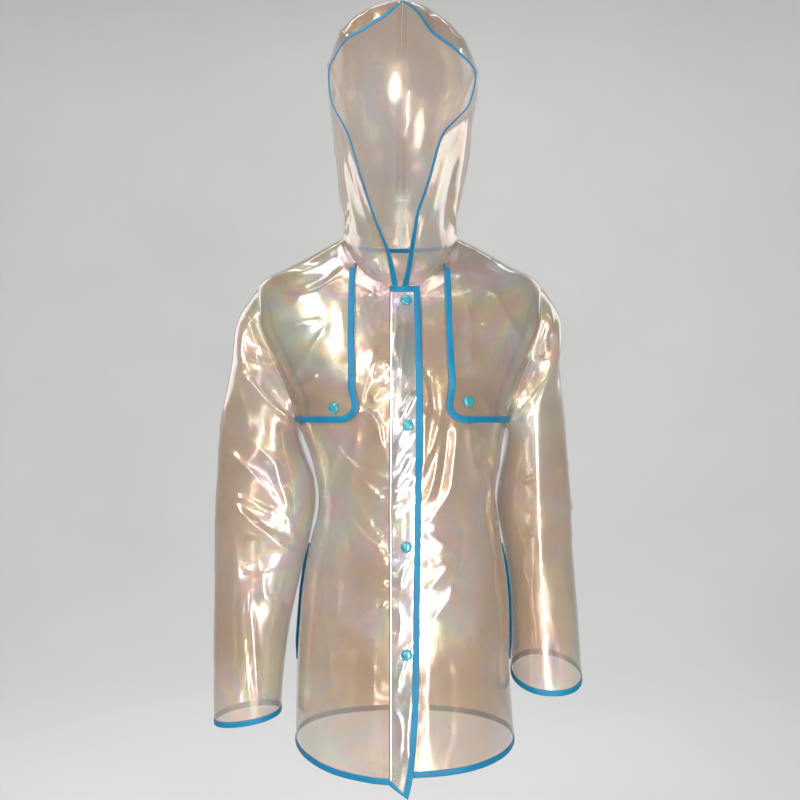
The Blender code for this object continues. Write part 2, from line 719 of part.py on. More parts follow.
def snap(name, x, z, out):
    """A turned snap cap: a low dome with a rolled rim."""
    profile = [(0, SNAP_H), (.45, SNAP_H * .97), (.78, SNAP_H * .80), (.93, SNAP_H * .55), (1.0, SNAP_H * .25),
               (.97, 0.0), (0, 0.0)]
    mesh = bpy.data.meshes.new(name)
    mesh.from_pydata([(r * SNAP_R * MM if r <= 1 else r * MM, 0, h * MM) for r, h in profile],
                     [(i, i + 1) for i in range(len(profile) - 1)], [])
    ob = bpy.data.objects.new(name, mesh)
    coat.objects.link(ob)
    mesh.materials.append(material(*TEAL))
    turn = ob.modifiers.new("turn", "SCREW")
    turn.axis = "Z"
    turn.steps = turn.render_steps = 16
    turn.use_merge_vertices = True
    turn.merge_threshold = 0.00005
    turn.use_smooth_shade = True
    d = 2.0
    here = np.array([x, -depth(x, z, "front"), z])
    du = np.array([x + d, -depth(x + d, z, "front"), z]) - here
    dv = np.array([x, -depth(x, z + d, "front"), z + d]) - here
    n = unit(np.cross(du, dv))
    n = n if n[1] < 0 else -n
    at = here + n * (out + WALL / 2 + 0.5)
    ob.location = at * MM
    ob.rotation_mode = "QUATERNION"
    ob.rotation_quaternion = Vector(n).to_track_quat("Z", "Y")
    return ob


for i in range(len(SNAPS["x"])):
    snap("snap_%d" % (i + 1), SNAPS["x"][i], SNAPS["z"][i], PLACKET_OUT)
for side in ("right", "left"):
    x, z = FLAP_SNAP[side]
    u_near = 0.36
    snap("flap_snap_" + side, x, z, FLAP_OUT + (lift(u_near) if side == "right" else 0.0))
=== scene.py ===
"""The raincoat's looks: pearly clear film, folded blue tape, turquoise snaps.

The form repeats the CAD model's own tables and curves on a finer grid, in
millimetres, and the creases are laid on that form.
"""
import math

import bmesh
import bpy
import numpy as np
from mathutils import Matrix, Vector, noise
from mathutils.kdtree import KDTree


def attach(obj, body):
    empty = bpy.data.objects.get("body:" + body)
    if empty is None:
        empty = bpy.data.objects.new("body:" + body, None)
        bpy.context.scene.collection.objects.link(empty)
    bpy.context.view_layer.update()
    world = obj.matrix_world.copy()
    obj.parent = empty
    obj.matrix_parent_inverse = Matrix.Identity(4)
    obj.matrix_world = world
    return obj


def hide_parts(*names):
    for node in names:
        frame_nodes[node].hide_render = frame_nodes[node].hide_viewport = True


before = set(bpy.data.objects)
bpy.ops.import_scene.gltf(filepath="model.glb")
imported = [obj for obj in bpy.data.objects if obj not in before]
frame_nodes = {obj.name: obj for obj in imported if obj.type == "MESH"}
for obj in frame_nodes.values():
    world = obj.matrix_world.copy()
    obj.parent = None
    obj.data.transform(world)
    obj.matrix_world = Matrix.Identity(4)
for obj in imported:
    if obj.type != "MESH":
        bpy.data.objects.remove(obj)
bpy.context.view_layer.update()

# ---------------------------------------------------------------- driving sizes
MM = 0.001
WALL = 1.2            # film wall
SEAM = 0.6            # gap left between two pieces at a seam
BIND = 8.0            # width of the folded tape on a free edge
BIND_THICK = 2.2      # two layers of tape with the film's edge between them
SEAM_BIND = 6.0       # width of the tape on an inner seam
ROUND = 2.2           # exponent of the body's rings: a little squarer than an ellipse

NECK_HALF = 84.0      # half width of the neckline
NECK_FRONT_Z = -62.0
NECK_BACK_Z = 12.0
HIGH_Z = 15.0         # high point of the shoulder
TIP_HALF = 198.0      # half of the shoulder width
TIP_Z = -48.0
UNDER_Z = -255.0      # underarm
HIGH_U = 0.344        # the column that meets the high point
FLAP_U = 0.25         # the column on the storm flap's inner edge

PLACKET_SEAM = -19.0  # x of the seam that joins placket and right front
UNDERLAP = -15.0      # x of the left front's edge, under the placket
PLACKET_OUT = 3.2     # how far the placket stands off the left front
FLAP_OUT = 4.2        # how far a storm flap stands off its front
FACING_IN = 2.8       # how far the facing lies behind the left front
FLAP_Z = -247.0       # lower edge of the storm flaps
FLAP_CORNER = 28.0
SNAP_R = 7.5
SNAP_H = 3.2


def table(columns, rows):
    return {name: np.array([row[i] for row in rows], float) for i, name in enumerate(columns.split())}


# Rings of the body, hem to shoulder: middle, half width, depth to the front and back.
BODY = table("z mid half front back", [
    (-760,  1.0, 156.5, 138, 126),
    (-703,  1.0, 156.0, 136, 124),
    (-610, -1.0, 153.0, 132, 120),
    (-507,  1.5, 149.0, 128, 110),
    (-420,  2.5, 137.0, 127,  98),
    (-362,  5.0, 124.5, 127,  91),
    (-310,  3.0, 133.0, 129,  98),
    (-255, -2.0, 149.0, 131, 109),
    (-200, -3.5, 171.0, 126, 108),
    (-150, -5.0, 192.0, 116, 103),
    (-100, -6.0, 213.0, 100,  93),
    (-75,  -6.0, 210.0,  90,  86),
    (-48,  -6.0, 198.0,  75,  77),
    (-27,  -5.5, 160.0,  56,  71),
    (-5,   -5.0, 120.2,  43,  67),
    (15,   -5.0,  84.0,  34,  62),
])
# Depth of the armhole seam to the front and back of the shoulder line.
ARMHOLE = table("z front back", [
    (-255,  0,  0),
    (-254, 14, 13),
    (-251, 28, 26),
    (-245, 40, 38),
    (-235, 48, 46),
    (-215, 55, 53),
    (-190, 51, 52),
    (-173, 46, 50),
    (-150, 42, 49),
    (-125, 43, 48),
    (-100, 43, 44),
    (-80,  36, 36),
    (-65,  25, 25),
    (-55,  14, 14),
    (-48,   0,  0),
])
# Sleeves: outer and inner fold lines (x outwards from the origin), middle and half of the depth.
SLEEVE = {
    "right": table("outer outer_z inner inner_z mid_y half_y", [
        (204.0,  -48, 153.4, -254, 0, 50),
        (220.0,  -70, 153.6, -258, 0, 53),
        (233.0,  -90, 153.0, -262, 0, 57),
        (242.0, -120, 151.5, -270, 0, 60),
        (248.0, -165, 147.0, -284, 0, 61),
        (258.0, -217, 139.0, -306, 0, 60),
        (267.0, -275, 130.0, -332, 0, 58),
        (271.0, -345, 127.5, -362, -2, 56),
        (272.0, -415, 135.5, -412, -6, 54),
        (272.5, -480, 149.5, -472, -10, 51),
        (272.5, -555, 165.5, -548, -13, 48),
        (272.5, -625, 173.5, -616, -14, 46),
        (271.2, -678, 177.0, -664, -14, 45),
    ]),
    "left": table("outer outer_z inner inner_z mid_y half_y", [
        (191.5,  -48, 149.4, -254, 0, 50),
        (209.0,  -70, 149.6, -258, 0, 53),
        (222.0,  -94, 149.6, -262, 0, 57),
        (225.0, -120, 149.2, -268, 0, 60),
        (222.5, -160, 147.5, -282, 1, 61),
        (230.0, -225, 143.5, -304, 4, 60),
        (237.0, -295, 138.0, -332, 7, 58),
        (242.5, -362, 135.0, -366, 10, 56),
        (246.0, -430, 144.5, -424, 13, 54),
        (250.5, -500, 155.0, -494, 15, 52),
        (255.0, -565, 157.5, -560, 16, 50),
        (259.6, -622, 157.5, -618, 16, 50),
    ]),
}
CUFF_DIP = {"right": 0.0, "left": 16.0}      # how much lower a cuff hangs in front
# Hood: face edge, side of the head and middle seam, neck to peak.
HOOD = {
    "right": table("v edge_x edge_y edge_z side_x side_y side_z seam_x seam_y seam_z", [
        (0.00,   -9.0,  -87, -60.5,  -89.0,   0,  16,  -5.0,  62,  13),
        (0.09,  -16.5, -109, -28,    -86.5,   2,  38,  -5.0,  77,  45),
        (0.22,  -37.0, -120,  22,    -92.0,   5,  80,  -5.0,  98,  88),
        (0.36,  -56.0, -123,  77,    -97.0,   8, 132,  -4.5, 115, 145),
        (0.50,  -75.0, -117, 136,   -104.0,  10, 182,  -4.0, 124, 200),
        (0.63,  -98.7, -100, 189,   -109.0,   8, 228,  -3.5, 120, 255),
        (0.74, -103.5,  -80, 232,   -107.0,   0, 268,  -3.0,  98, 305),
        (0.83,  -84.0,  -62, 275,    -92.0, -10, 306,  -3.0,  60, 338),
        (0.91,  -50.0,  -56, 301,    -64.0, -15, 336,  -2.5,  15, 350),
        (0.96,  -24.0,  -60, 316,    -34.0, -34, 342,  -2.0, -22, 348),
        (1.00,   -3.0,  -68, 333,     -3.0, -68, 333,  -2.0, -68, 333),
    ]),
    "left": table("v edge_x edge_y edge_z side_x side_y side_z seam_x seam_y seam_z", [
        (0.00,   -2.0,  -87, -60.5,   79.0,   0,  16,  -5.0,  62,  13),
        (0.09,    4.0, -110, -27,     76.0,   2,  38,  -5.0,  77,  45),
        (0.22,   13.5, -122,  20,     83.0,   5,  80,  -5.0,  98,  88),
        (0.36,   31.0, -126,  74,     91.0,   8, 132,  -4.5, 115, 145),
        (0.50,   48.0, -122, 131,     99.0,  10, 182,  -4.0, 124, 200),
        (0.63,   89.0, -106, 182,    106.0,   8, 228,  -3.5, 120, 255),
        (0.74,   97.0,  -85, 226,    102.0,   0, 268,  -3.0,  98, 305),
        (0.83,   74.0,  -64, 263,     82.0, -10, 304,  -3.0,  60, 338),
        (0.91,   38.0,  -57, 294,     48.0, -15, 335,  -2.5,  15, 350),
        (0.96,   18.0,  -63, 319,     26.0, -34, 342,  -2.0, -22, 348),
        (1.00,   -1.0,  -68, 333,     -1.0, -68, 333,  -2.0, -68, 333),
    ]),
}
# Free edge of the placket.
PLACKET = table("z edge", [
    (-740,  4.0),
    (-722,  8.5),
    (-695, 12.5),
    (-610, 17.8),
    (-427, 20.4),
    (-217, 23.0),
    (-64,  20.5),
])
HEM = {"right": (-703.0, -720.0), "left": (-703.0, -712.0), "back": (-703.0, -706.0)}   # side, middle
SNAPS = table("x z", [(2.3, -84), (4.7, -251), (2.4, -411), (3.0, -552)])
FLAP_SNAP = {"right": (-92.0, -228.0), "left": (83.5, -219.5)}
POCKET = table("z", [(-424,), (-466,), (-508,), (-550,), (-590,)])
SIGN = {"right": -1.0, "left": 1.0}

# ---------------------------------------------------------------- the creases
# Rows: height (+ stands out), width on each side, and its line in millimetres. "front",
# "arm_right", "arm_left" and "hood_front" are laid out as seen level from 1.4 m in front,
# "back" and "arm_back" across and up, and the hood's sides along Y and up.
CREASES = {
    "arm_right": [
        (3.2, 4, 12, [(-235, -90), (-225, -100), (-218, -122), (-214, -133), (-208, -140), (-199, -143), (-192, -142)]),
        (3.4, 3, 8, [(-187, -157), (-190, -168), (-182, -179), (-174, -194), (-165, -207)]),
        (2.6, 5, 8, [(-239, -174), (-235, -165), (-227, -162), (-214, -165), (-199, -170), (-191, -169)]),
        (5.2, 4, 13, [(-239, -175), (-225, -186), (-212, -201), (-197, -218), (-182, -231), (-167, -241), (-152, -247)]),
        (2.4, 6, 14, [(-239, -174), (-239, -194), (-232, -218), (-228, -239), (-228, -262), (-229, -271)]),
        (3.0, 9, 9, [(-229, -271), (-214, -283), (-199, -296), (-188, -313), (-184, -332), (-176, -354)]),
        (4.2, 3.5, 9, [(-186, -287), (-187, -303), (-182, -322), (-176, -343), (-169, -364), (-169, -375), (-173, -384)]),
        (3.6, 4.5, 12, [(-268, -285), (-252, -291), (-235, -308), (-216, -326), (-201, -343), (-188, -360), (-180, -373)]),
        (6.8, 4.5, 14, [(-249, -362), (-235, -377), (-218, -394), (-197, -411), (-178, -426), (-161, -437), (-146, -448)]),
        (-3.2, 8, 8, [(-241, -351), (-223, -358), (-204, -368), (-186, -377)]),
        (2.8, 4, 7, [(-250, -364), (-240, -358), (-225, -362), (-208, -371), (-193, -379), (-180, -385)]),
        (4.0, 4, 8, [(-178, -388), (-169, -386), (-161, -409), (-152, -428), (-145, -447)]),
        (3.6, 9, 14, [(-253, -367), (-250, -394), (-246, -426), (-243, -458), (-238, -490), (-231, -503)]),
        (2.2, 5, 10, [(-152, -454), (-169, -456), (-193, -460), (-203, -465), (-220, -467)]),
        (1.8, 5, 9, [(-203, -467), (-204, -481), (-201, -499), (-188, -511)]),
        (3.4, 4, 8, [(-239, -493), (-235, -511), (-234, -554), (-230, -597), (-225, -639), (-219, -675)]),
        (3.4, 4, 10, [(-228, -493), (-225, -501), (-220, -543), (-215, -597), (-212, -639), (-210, -675)]),
        (-2.6, 7, 7, [(-161, -481), (-167, -511), (-174, -539), (-184, -581), (-184, -613)]),
        (-2.2, 12, 16, [(-258, -450), (-261, -522), (-258, -594), (-252, -660)]),
        (2.0, 9, 12, [(-258, -218), (-255, -246), (-258, -273)]),
    ],
    "arm_left": [
        (4.2, 3, 8, [(216, -81), (212, -92), (214, -103), (208, -119), (206, -131), (208, -145), (204, -151), (193, -152)]),
        (3.0, 3, 7, [(184, -178), (187, -184), (184, -194), (175, -205), (166, -214)]),
        (4.0, 3.5, 9, [(194, -202), (177, -219), (161, -235), (150, -247), (145, -254)]),
        (-3.2, 6, 6, [(183, -220), (170, -236), (158, -251)]),
        (2.4, 4, 8, [(191, -216), (183, -232), (174, -249)]),
        (2.6, 18, 22, [(218, -157), (212, -175), (206, -194), (199, -219), (195, -246), (194, -288), (194, -334), (195, -397), (197, -439), (196, -482), (195, -525), (193, -567), (192, -641)]),
        (2.2, 6, 10, [(185, -408), (176, -444), (170, -482), (159, -535)]),
        (-2.4, 9, 12, [(174, -297), (173, -362), (177, -428)]),
        (2.2, 6, 12, [(167, -508), (170, -551), (164, -609)]),
        (2.6, 6, 9, [(226, -450), (235, -493), (244, -525), (249, -580), (254, -612)]),
        (-2.6, 10, 12, [(220, -246), (226, -334), (231, -406)]),
        (-2.0, 10, 12, [(216, -566), (226, -606), (220, -638)]),
    ],
    "front": [
        (3.4, 9, 16, [(-65, -241), (-68, -276), (-71, -307), (-72, -341), (-65, -367), (-49, -397), (-28, -432)]),
        (3.2, 3.5, 9, [(-80, -246), (-74, -239), (-66, -235), (-56, -233), (-46, -238), (-37, -252), (-33, -274), (-26, -294)]),
        (2.6, 4, 12, [(-60, -334), (-44, -349), (-27, -365)]),
        (2.6, 4, 14, [(-81, -382), (-57, -414), (-35, -433), (-25, -452)]),
        (2.8, 5, 14, [(-84, -258), (-95, -296), (-106, -331), (-118, -366), (-130, -402)]),
        (-2.4, 10, 10, [(-93, -362), (-84, -406), (-75, -450)]),
        (2.0, 10, 18, [(-107, -535), (-75, -528), (-28, -512)]),
        (2.4, 3, 5, [(-35, -452), (-23, -450)]),
        (2.0, 3, 5, [(-33, -483), (-23, -487)]),
        (2.0, 3, 5, [(-33, -513), (-23, -519)]),
        (2.2, 3, 5, [(-35, -162), (-23, -165)]),
        (2.4, 12, 16, [(-113, -450), (-116, -508), (-107, -580), (-102, -652)]),
        (-2.0, 14, 18, [(-75, -566), (-70, -638), (-75, -718)]),
        (2.2, 12, 16, [(-46, -580), (-43, -652), (-49, -747)]),
        (1.6, 8, 14, [(-145, -638), (-142, -682), (-145, -728)]),
        (1.8, 5, 10, [(-39, -136), (-49, -170), (-59, -209), (-64, -229)]),
        (1.4, 4, 8, [(-29, -144), (-41, -168), (-46, -188)]),
        (1.6, 4, 9, [(-25, -195), (-38, -209), (-49, -220)]),
        (1.8, 3, 6, [(-42, -49), (-44, -59), (-46, -70)]),
        (3.0, 8, 14, [(-174, -71), (-145, -65), (-123, -58), (-97, -40), (-75, -23)]),
        (2.4, 8, 12, [(-165, -42), (-131, -26), (-97, -14), (-75, -6)]),
        (-1.8, 8, 10, [(-168, -55), (-129, -44), (-93, -26)]),
        (1.6, 3, 8, [(-170, -112), (-140, -104), (-114, -103)]),
        (2.6, 5, 13, [(-162, -193), (-154, -174), (-145, -161), (-123, -127), (-107, -103)]),
        (2.6, 4, 9, [(-161, -204), (-143, -195), (-123, -180)]),
        (-1.8, 6, 8, [(-162, -199), (-145, -180), (-125, -152)]),
        (1.6, 4, 8, [(-168, -238), (-157, -245), (-139, -244)]),
        (1.6, 4, 7, [(-86, -215), (-78, -203), (-75, -186)]),
        (1.4, 5, 8, [(-119, -233), (-130, -229), (-144, -220)]),
        (1.4, 6, 10, [(-91, -72), (-88, -116), (-87, -167)]),
        (1.7, 3, 5, [(-12, -64), (-11, -71), (-9, -110), (-13, -136), (-9, -157)]),
        (1.5, 3, 6, [(-1, -89), (2, -127), (-2, -161), (0, -194)]),
        (2.2, 2.5, 5, [(17, -204), (4, -229), (-2, -245)]),
        (2.0, 2.5, 5, [(14, -244), (-4, -274), (-13, -293)]),
        (2.0, 2.5, 5, [(16, -264), (-7, -296), (-14, -314)]),
        (1.8, 2.5, 5, [(16, -296), (1, -322), (-16, -349)]),
        (1.8, 2.5, 5, [(16, -328), (-2, -349), (-17, -370)]),
        (1.5, 3, 6, [(16, -361), (-7, -377), (-16, -394)]),
        (1.6, 3, 6, [(12, -444), (0, -467), (-6, -493)]),
        (1.4, 3, 6, [(-10, -508), (-4, -539), (-9, -573)]),
        (1.6, 3, 6, [(13, -566), (0, -600), (-10, -638)]),
        (1.4, 3, 6, [(-12, -660), (-3, -696), (-7, -740)]),
        (1.4, 3, 6, [(10, -652), (6, -703), (7, -754)]),
        (3.4, 3.5, 8, [(32, -223), (30, -254), (29, -287), (25, -319)]),
        (3.6, 3.5, 8, [(54, -238), (49, -261), (39, -291), (29, -314), (25, -334)]),
        (2.8, 4, 8, [(54, -261), (52, -287), (45, -331), (35, -358), (25, -370)]),
        (4.0, 4, 9, [(80, -241), (77, -261), (73, -296), (70, -331), (63, -358), (47, -380), (35, -394)]),
        (-2.6, 5, 6, [(65, -246), (61, -290), (55, -334), (46, -360)]),
        (3.4, 4, 9, [(90, -242), (93, -261), (96, -287), (101, -314), (107, -334)]),
        (2.6, 3.5, 8, [(100, -242), (103, -264), (107, -296), (108, -331)]),
        (3.0, 4, 12, [(104, -244), (107, -261), (115, -305), (126, -354), (135, -402), (139, -432)]),
        (2.2, 5, 9, [(125, -252), (130, -270), (135, -297), (132, -331)]),
        (2.0, 3, 6, [(29, -396), (40, -391), (59, -384), (75, -382)]),
        (1.6, 3, 6, [(35, -406), (52, -399), (78, -396)]),
        (2.6, 4, 8, [(26, -415), (38, -414), (52, -423), (68, -433)]),
        (2.2, 4, 8, [(29, -450), (44, -454), (61, -447)]),
        (2.2, 4, 9, [(29, -493), (44, -481), (58, -465), (67, -452)]),
        (2.4, 5, 12, [(38, -539), (49, -525), (61, -510), (73, -481)]),
        (-2.4, 8, 8, [(83, -392), (84, -435), (78, -478)]),
        (1.8, 6, 12, [(131, -436), (129, -480), (122, -529)]),
        (2.0, 10, 16, [(96, -508), (107, -566), (110, -652), (107, -725)]),
        (-1.8, 12, 16, [(64, -580), (70, -652), (67, -732)]),
        (1.8, 10, 14, [(38, -594), (35, -667), (39, -747)]),
        (-2.0, 5, 7, [(29, -170), (39, -195), (44, -229), (46, -246)]),
        (1.8, 4, 6, [(22, -160), (29, -188), (35, -218), (33, -235)]),
        (2.8, 8, 16, [(125, -51), (139, -75), (153, -103), (171, -136), (180, -160)]),
        (2.6, 3, 7, [(110, -210), (119, -221), (124, -238)]),
        (2.0, 5, 9, [(146, -246), (153, -229), (171, -195), (181, -168)]),
        (1.6, 5, 10, [(90, -72), (99, -116), (96, -167)]),
        (1.6, 4, 8, [(78, -207), (71, -188), (68, -162)]),
        (1.6, 6, 10, [(139, -167), (125, -188), (107, -203)]),
    ],
    "hood_front": [
        (3.4, 3.5, 10, [(-81, 145), (-79, 135), (-72, 114), (-59, 69), (-45, 36), (-38, 11)]),
        (2.4, 5, 9, [(-90, 133), (-87, 125), (-80, 93), (-69, 45), (-58, 12)]),
        (1.8, 3, 6, [(-55, 6), (-51, -1), (-43, 6)]),
        (2.2, 5, 9, [(-64, -4), (-48, -20), (-32, -41)]),
        (-1.8, 7, 9, [(-97, 160), (-90, 102), (-78, 36)]),
        (2.6, 3.5, 8, [(23, 51), (18, 25), (13, -4), (6, -28), (0, -48)]),
        (-2.6, 7, 9, [(80, 142), (70, 109), (62, 61), (57, 20)]),
        (2.2, 6, 10, [(90, 188), (84, 130), (75, 72), (70, 22)]),
        (2.0, 5, 8, [(44, -12), (32, -29), (17, -45)]),
        (1.8, 6, 9, [(61, 145), (48, 94), (35, 44)]),
        (2.2, 3, 6, [(-52, 352), (-48, 347), (-40, 332)]),
        (2.4, 5, 12, [(-74, 325), (-81, 297), (-93, 276)]),
        (2.4, 5, 12, [(57, 332), (70, 313), (84, 296)]),
    ],
    "back": [
        (4.8, 5, 13, [(-118, -262), (-92, -300), (-60, -332), (-22, -350)]),
        (4.5, 5, 12, [(124, -266), (100, -296), (74, -322), (30, -338)]),
        (3.8, 4, 10, [(-110, -330), (-74, -352), (-34, -362), (8, -358)]),
        (4.2, 4, 11, [(112, -322), (84, -346), (52, -362), (20, -372)]),
        (-3.2, 8, 9, [(-96, -342), (-50, -368), (0, -374), (46, -376)]),
        (4.2, 8, 14, [(-96, -390), (-104, -450), (-100, -520), (-112, -600), (-108, -690)]),
        (-3.8, 12, 14, [(-70, -420), (-76, -500), (-70, -590), (-80, -690)]),
        (4.5, 10, 16, [(-42, -400), (-48, -470), (-40, -560), (-46, -690)]),
        (3.8, 9, 15, [(18, -410), (12, -490), (22, -580), (16, -690)]),
        (-3.5, 12, 12, [(46, -420), (52, -500), (44, -600), (50, -690)]),
        (4.5, 8, 14, [(78, -396), (84, -470), (76, -550), (86, -640), (82, -695)]),
        (3.5, 8, 12, [(118, -420), (122, -500), (116, -580), (124, -670)]),
        (4.2, 8, 15, [(-150, -96), (-112, -112), (-66, -108), (-20, -120)]),
        (3.8, 7, 14, [(146, -88), (110, -100), (68, -102), (26, -92)]),
        (3.5, 5, 12, [(-166, -168), (-134, -180), (-96, -174)]),
        (3.8, 5, 13, [(168, -150), (132, -166), (96, -170), (70, -184)]),
        (-2.9, 9, 10, [(-60, -150), (-10, -160), (44, -152)]),
        (3.2, 6, 12, [(-120, -206), (-84, -232), (-50, -240)]),
        (3.2, 6, 12, [(128, -214), (88, -226), (52, -244)]),
        (2.9, 6, 10, [(-30, -196), (-18, -240), (-26, -292)]),
        (2.9, 6, 10, [(34, -206), (26, -250), (34, -300)]),
        (2.9, 5, 10, [(-54, -20), (-46, -54), (-56, -86)]),
        (2.9, 5, 10, [(44, -22), (38, -50), (48, -80)]),
    ],
    "arm_back": [
        (4.8, 4, 12, [(250, -300), (226, -322), (196, -338), (166, -344)]),
        (6.0, 4.5, 13, [(266, -366), (236, -378), (204, -384), (170, -376)]),
        (4.0, 4, 11, [(262, -404), (232, -418), (206, -422), (178, -414)]),
        (-3.5, 7, 8, [(254, -390), (224, -400), (192, -400)]),
        (3.5, 5, 12, [(238, -170), (214, -206), (190, -232)]),
        (3.2, 5, 11, [(244, -238), (216, -262), (186, -272)]),
        (3.0, 5, 12, [(206, -120), (196, -160), (182, -196)]),
        (3.8, 7, 12, [(222, -440), (226, -500), (220, -560), (226, -640)]),
        (3.0, 6, 11, [(196, -450), (194, -520), (202, -590), (198, -650)]),
        (-2.8, 9, 10, [(244, -450), (248, -530), (244, -620)]),
        (2.8, 5, 10, [(180, -560), (190, -590), (206, -604)]),
    ],
    "hood_right": [
        (3.4, 5, 12, [(60, 40), (52, 90), (58, 150), (48, 200)]),
        (3.1, 5, 12, [(20, 34), (10, 80), (16, 130), (6, 176)]),
        (-2.3, 9, 10, [(36, 60), (30, 120), (36, 170)]),
        (3.4, 5, 13, [(-40, 250), (-4, 268), (40, 262), (78, 236)]),
        (2.9, 5, 12, [(-46, 292), (-10, 312), (30, 308)]),
        (2.6, 6, 10, [(92, 110), (84, 150), (96, 196)]),
        (2.9, 4, 9, [(-10, 22), (-34, 44), (-60, 50)]),
        (-2.1, 8, 10, [(-30, 210), (10, 222), (52, 206)]),
    ],
    "hood_left": [
        (3.4, 5, 12, [(52, 36), (60, 88), (50, 146), (56, 204)]),
        (2.9, 5, 12, [(12, 36), (18, 84), (8, 128), (12, 180)]),
        (-2.3, 9, 10, [(32, 56), (38, 112), (32, 172)]),
        (3.4, 5, 13, [(-36, 240), (0, 260), (44, 256), (80, 228)]),
        (2.9, 5, 12, [(-44, 284), (-6, 302), (34, 300)]),
        (2.6, 6, 10, [(88, 100), (94, 144), (86, 190)]),
        (2.9, 4, 9, [(-12, 24), (-36, 40), (-62, 56)]),
        (-2.1, 8, 10, [(-24, 206), (14, 216), (54, 200)]),
    ],

}

# ---------------------------------------------------------------- sheets and studio
# Flat cut of each piece: width, length and area (metres, square metres), measured at the seams.
SHEETS = {
    "back": (0.494, 0.776, 0.293),
    "front_right": (0.276, 0.783, 0.142), "front_left": (0.296, 0.773, 0.163),
    "sleeve_right": (0.544, 0.644, 0.193), "sleeve_left": (0.540, 0.587, 0.161),
    "hood_right": (0.310, 0.493, 0.100), "hood_left": (0.325, 0.492, 0.103),
    "storm_flap_right": (0.211, 0.324, 0.040), "storm_flap_left": (0.210, 0.324, 0.040),
    "placket": (0.044, 0.685, 0.0267), "facing": (0.040, 0.648, 0.0252),
}
EXPOSURE = 0.0
SWEEP_COLOR = (.56, .56, .555)
WORLD_COLOR = (.11, .11, .115)
LIGHTS = [
    ("key_left", (-1.5, -1.9, 1.1), (0, 0, -.15), (.7, 1.0), 44, (1.0, .98, .96)),
    ("strip_right", (.46, -1.9, -.58), (.2, 0, -.45), (.26, 1.5), 40),
    ("top_soft", (-.3, -.3, 1.9), (0, 0, 0), (1.4, .9), 30, (.92, .94, 1.0)),
    ("strip_front", (-.55, -2.7, .1), (0, 0, -.2), (.2, 1.6), 22),
    ("rim_left", (-2.0, 1.6, .8), (0, 0, -.2), (1.2, 1.8), 16, (.95, .97, 1.0)),
    ("rim_right", (2.0, 1.6, .8), (0, 0, -.2), (1.2, 1.8), 16),
    ("back_wash", (0, 1.6, 2.3), (0, 4.6, -.6), (2.6, .8), 110),
    ("front_wash", (0, -1.9, 2.6), (0, -4.6, -.6), (2.6, .8), 34),
]


# ---------------------------------------------------------------- curves
def slopes(xs, ys):
    h, d = np.diff(xs), np.diff(ys) / np.diff(xs)
    m = np.zeros(len(xs))
    m[0], m[-1] = d[0], d[-1]
    for i in range(1, len(xs) - 1):
        if d[i - 1] * d[i] > 0:
            a, b = 2 * h[i] + h[i - 1], h[i] + 2 * h[i - 1]
            m[i] = (a + b) / (a / d[i - 1] + b / d[i])
    return m


def curve(xs, ys):
    """A smooth curve through the rows that never overshoots them, read from a fine list."""
    xs, ys = np.asarray(xs, float), np.asarray(ys, float)
    m = slopes(xs, ys)
    x = np.linspace(xs[0], xs[-1], 5000)
    i = np.clip(np.searchsorted(xs, x) - 1, 0, len(xs) - 2)
    h = xs[i + 1] - xs[i]
    t = (x - xs[i]) / h
    y = (ys[i] * (1 + 2 * t) * (1 - t) ** 2 + m[i] * h * t * (1 - t) ** 2
         + ys[i + 1] * t * t * (3 - 2 * t) + m[i + 1] * h * t * t * (t - 1))
    return lambda at: np.interp(at, x, y)


def curves(tab, key):
    return {name: curve(tab[key], tab[name]) for name in tab if name != key}


BODY_AT = curves(BODY, "z")
ARM_AT = curves(ARMHOLE, "z")
PLACKET_AT = curves(PLACKET, "z")


def mix(a, b, t):
    return a + (b - a) * t


def smooth(t):
    t = np.clip(t, 0.0, 1.0)
    return t * t * (3 - 2 * t)


def unit(v):
    return v / np.maximum(np.linalg.norm(v, axis=-1, keepdims=True), 1e-9)


# ---------------------------------------------------------------- the body's form
def depth(x, z, face):
    a = np.abs(x - BODY_AT["mid"](z)) / BODY_AT["half"](z)
    return BODY_AT[face](z) * np.maximum(1 - np.minimum(a, 1.0) ** ROUND, 0.0) ** (1 / ROUND)


def reach(w, half):
    return half * np.sin(np.clip(w, 0, 1) * np.pi / 2) ** (2 / ROUND)


def arm_reach(z, face):
    y = ARM_AT[face](z)
    return BODY_AT["half"](z) * (1 - np.minimum(y / BODY_AT[face](z), 1.0) ** ROUND) ** (1 / ROUND)


def top_line(w, face):
    """Neckline, then shoulder seam: half distance and height for a column."""
    a = mix(0.0, NECK_HALF, w / HIGH_U)
    f = np.abs(a) / NECK_HALF
    z = mix(NECK_FRONT_Z, HIGH_Z, f ** 2.6) if face == "front" else mix(NECK_BACK_Z, HIGH_Z, f ** 2)
    s = (w - HIGH_U) / (1 - HIGH_U)
    neck = w <= HIGH_U
    return np.where(neck, a, mix(NECK_HALF, TIP_HALF, s)), np.where(neck, z, mix(HIGH_Z, TIP_Z, s))


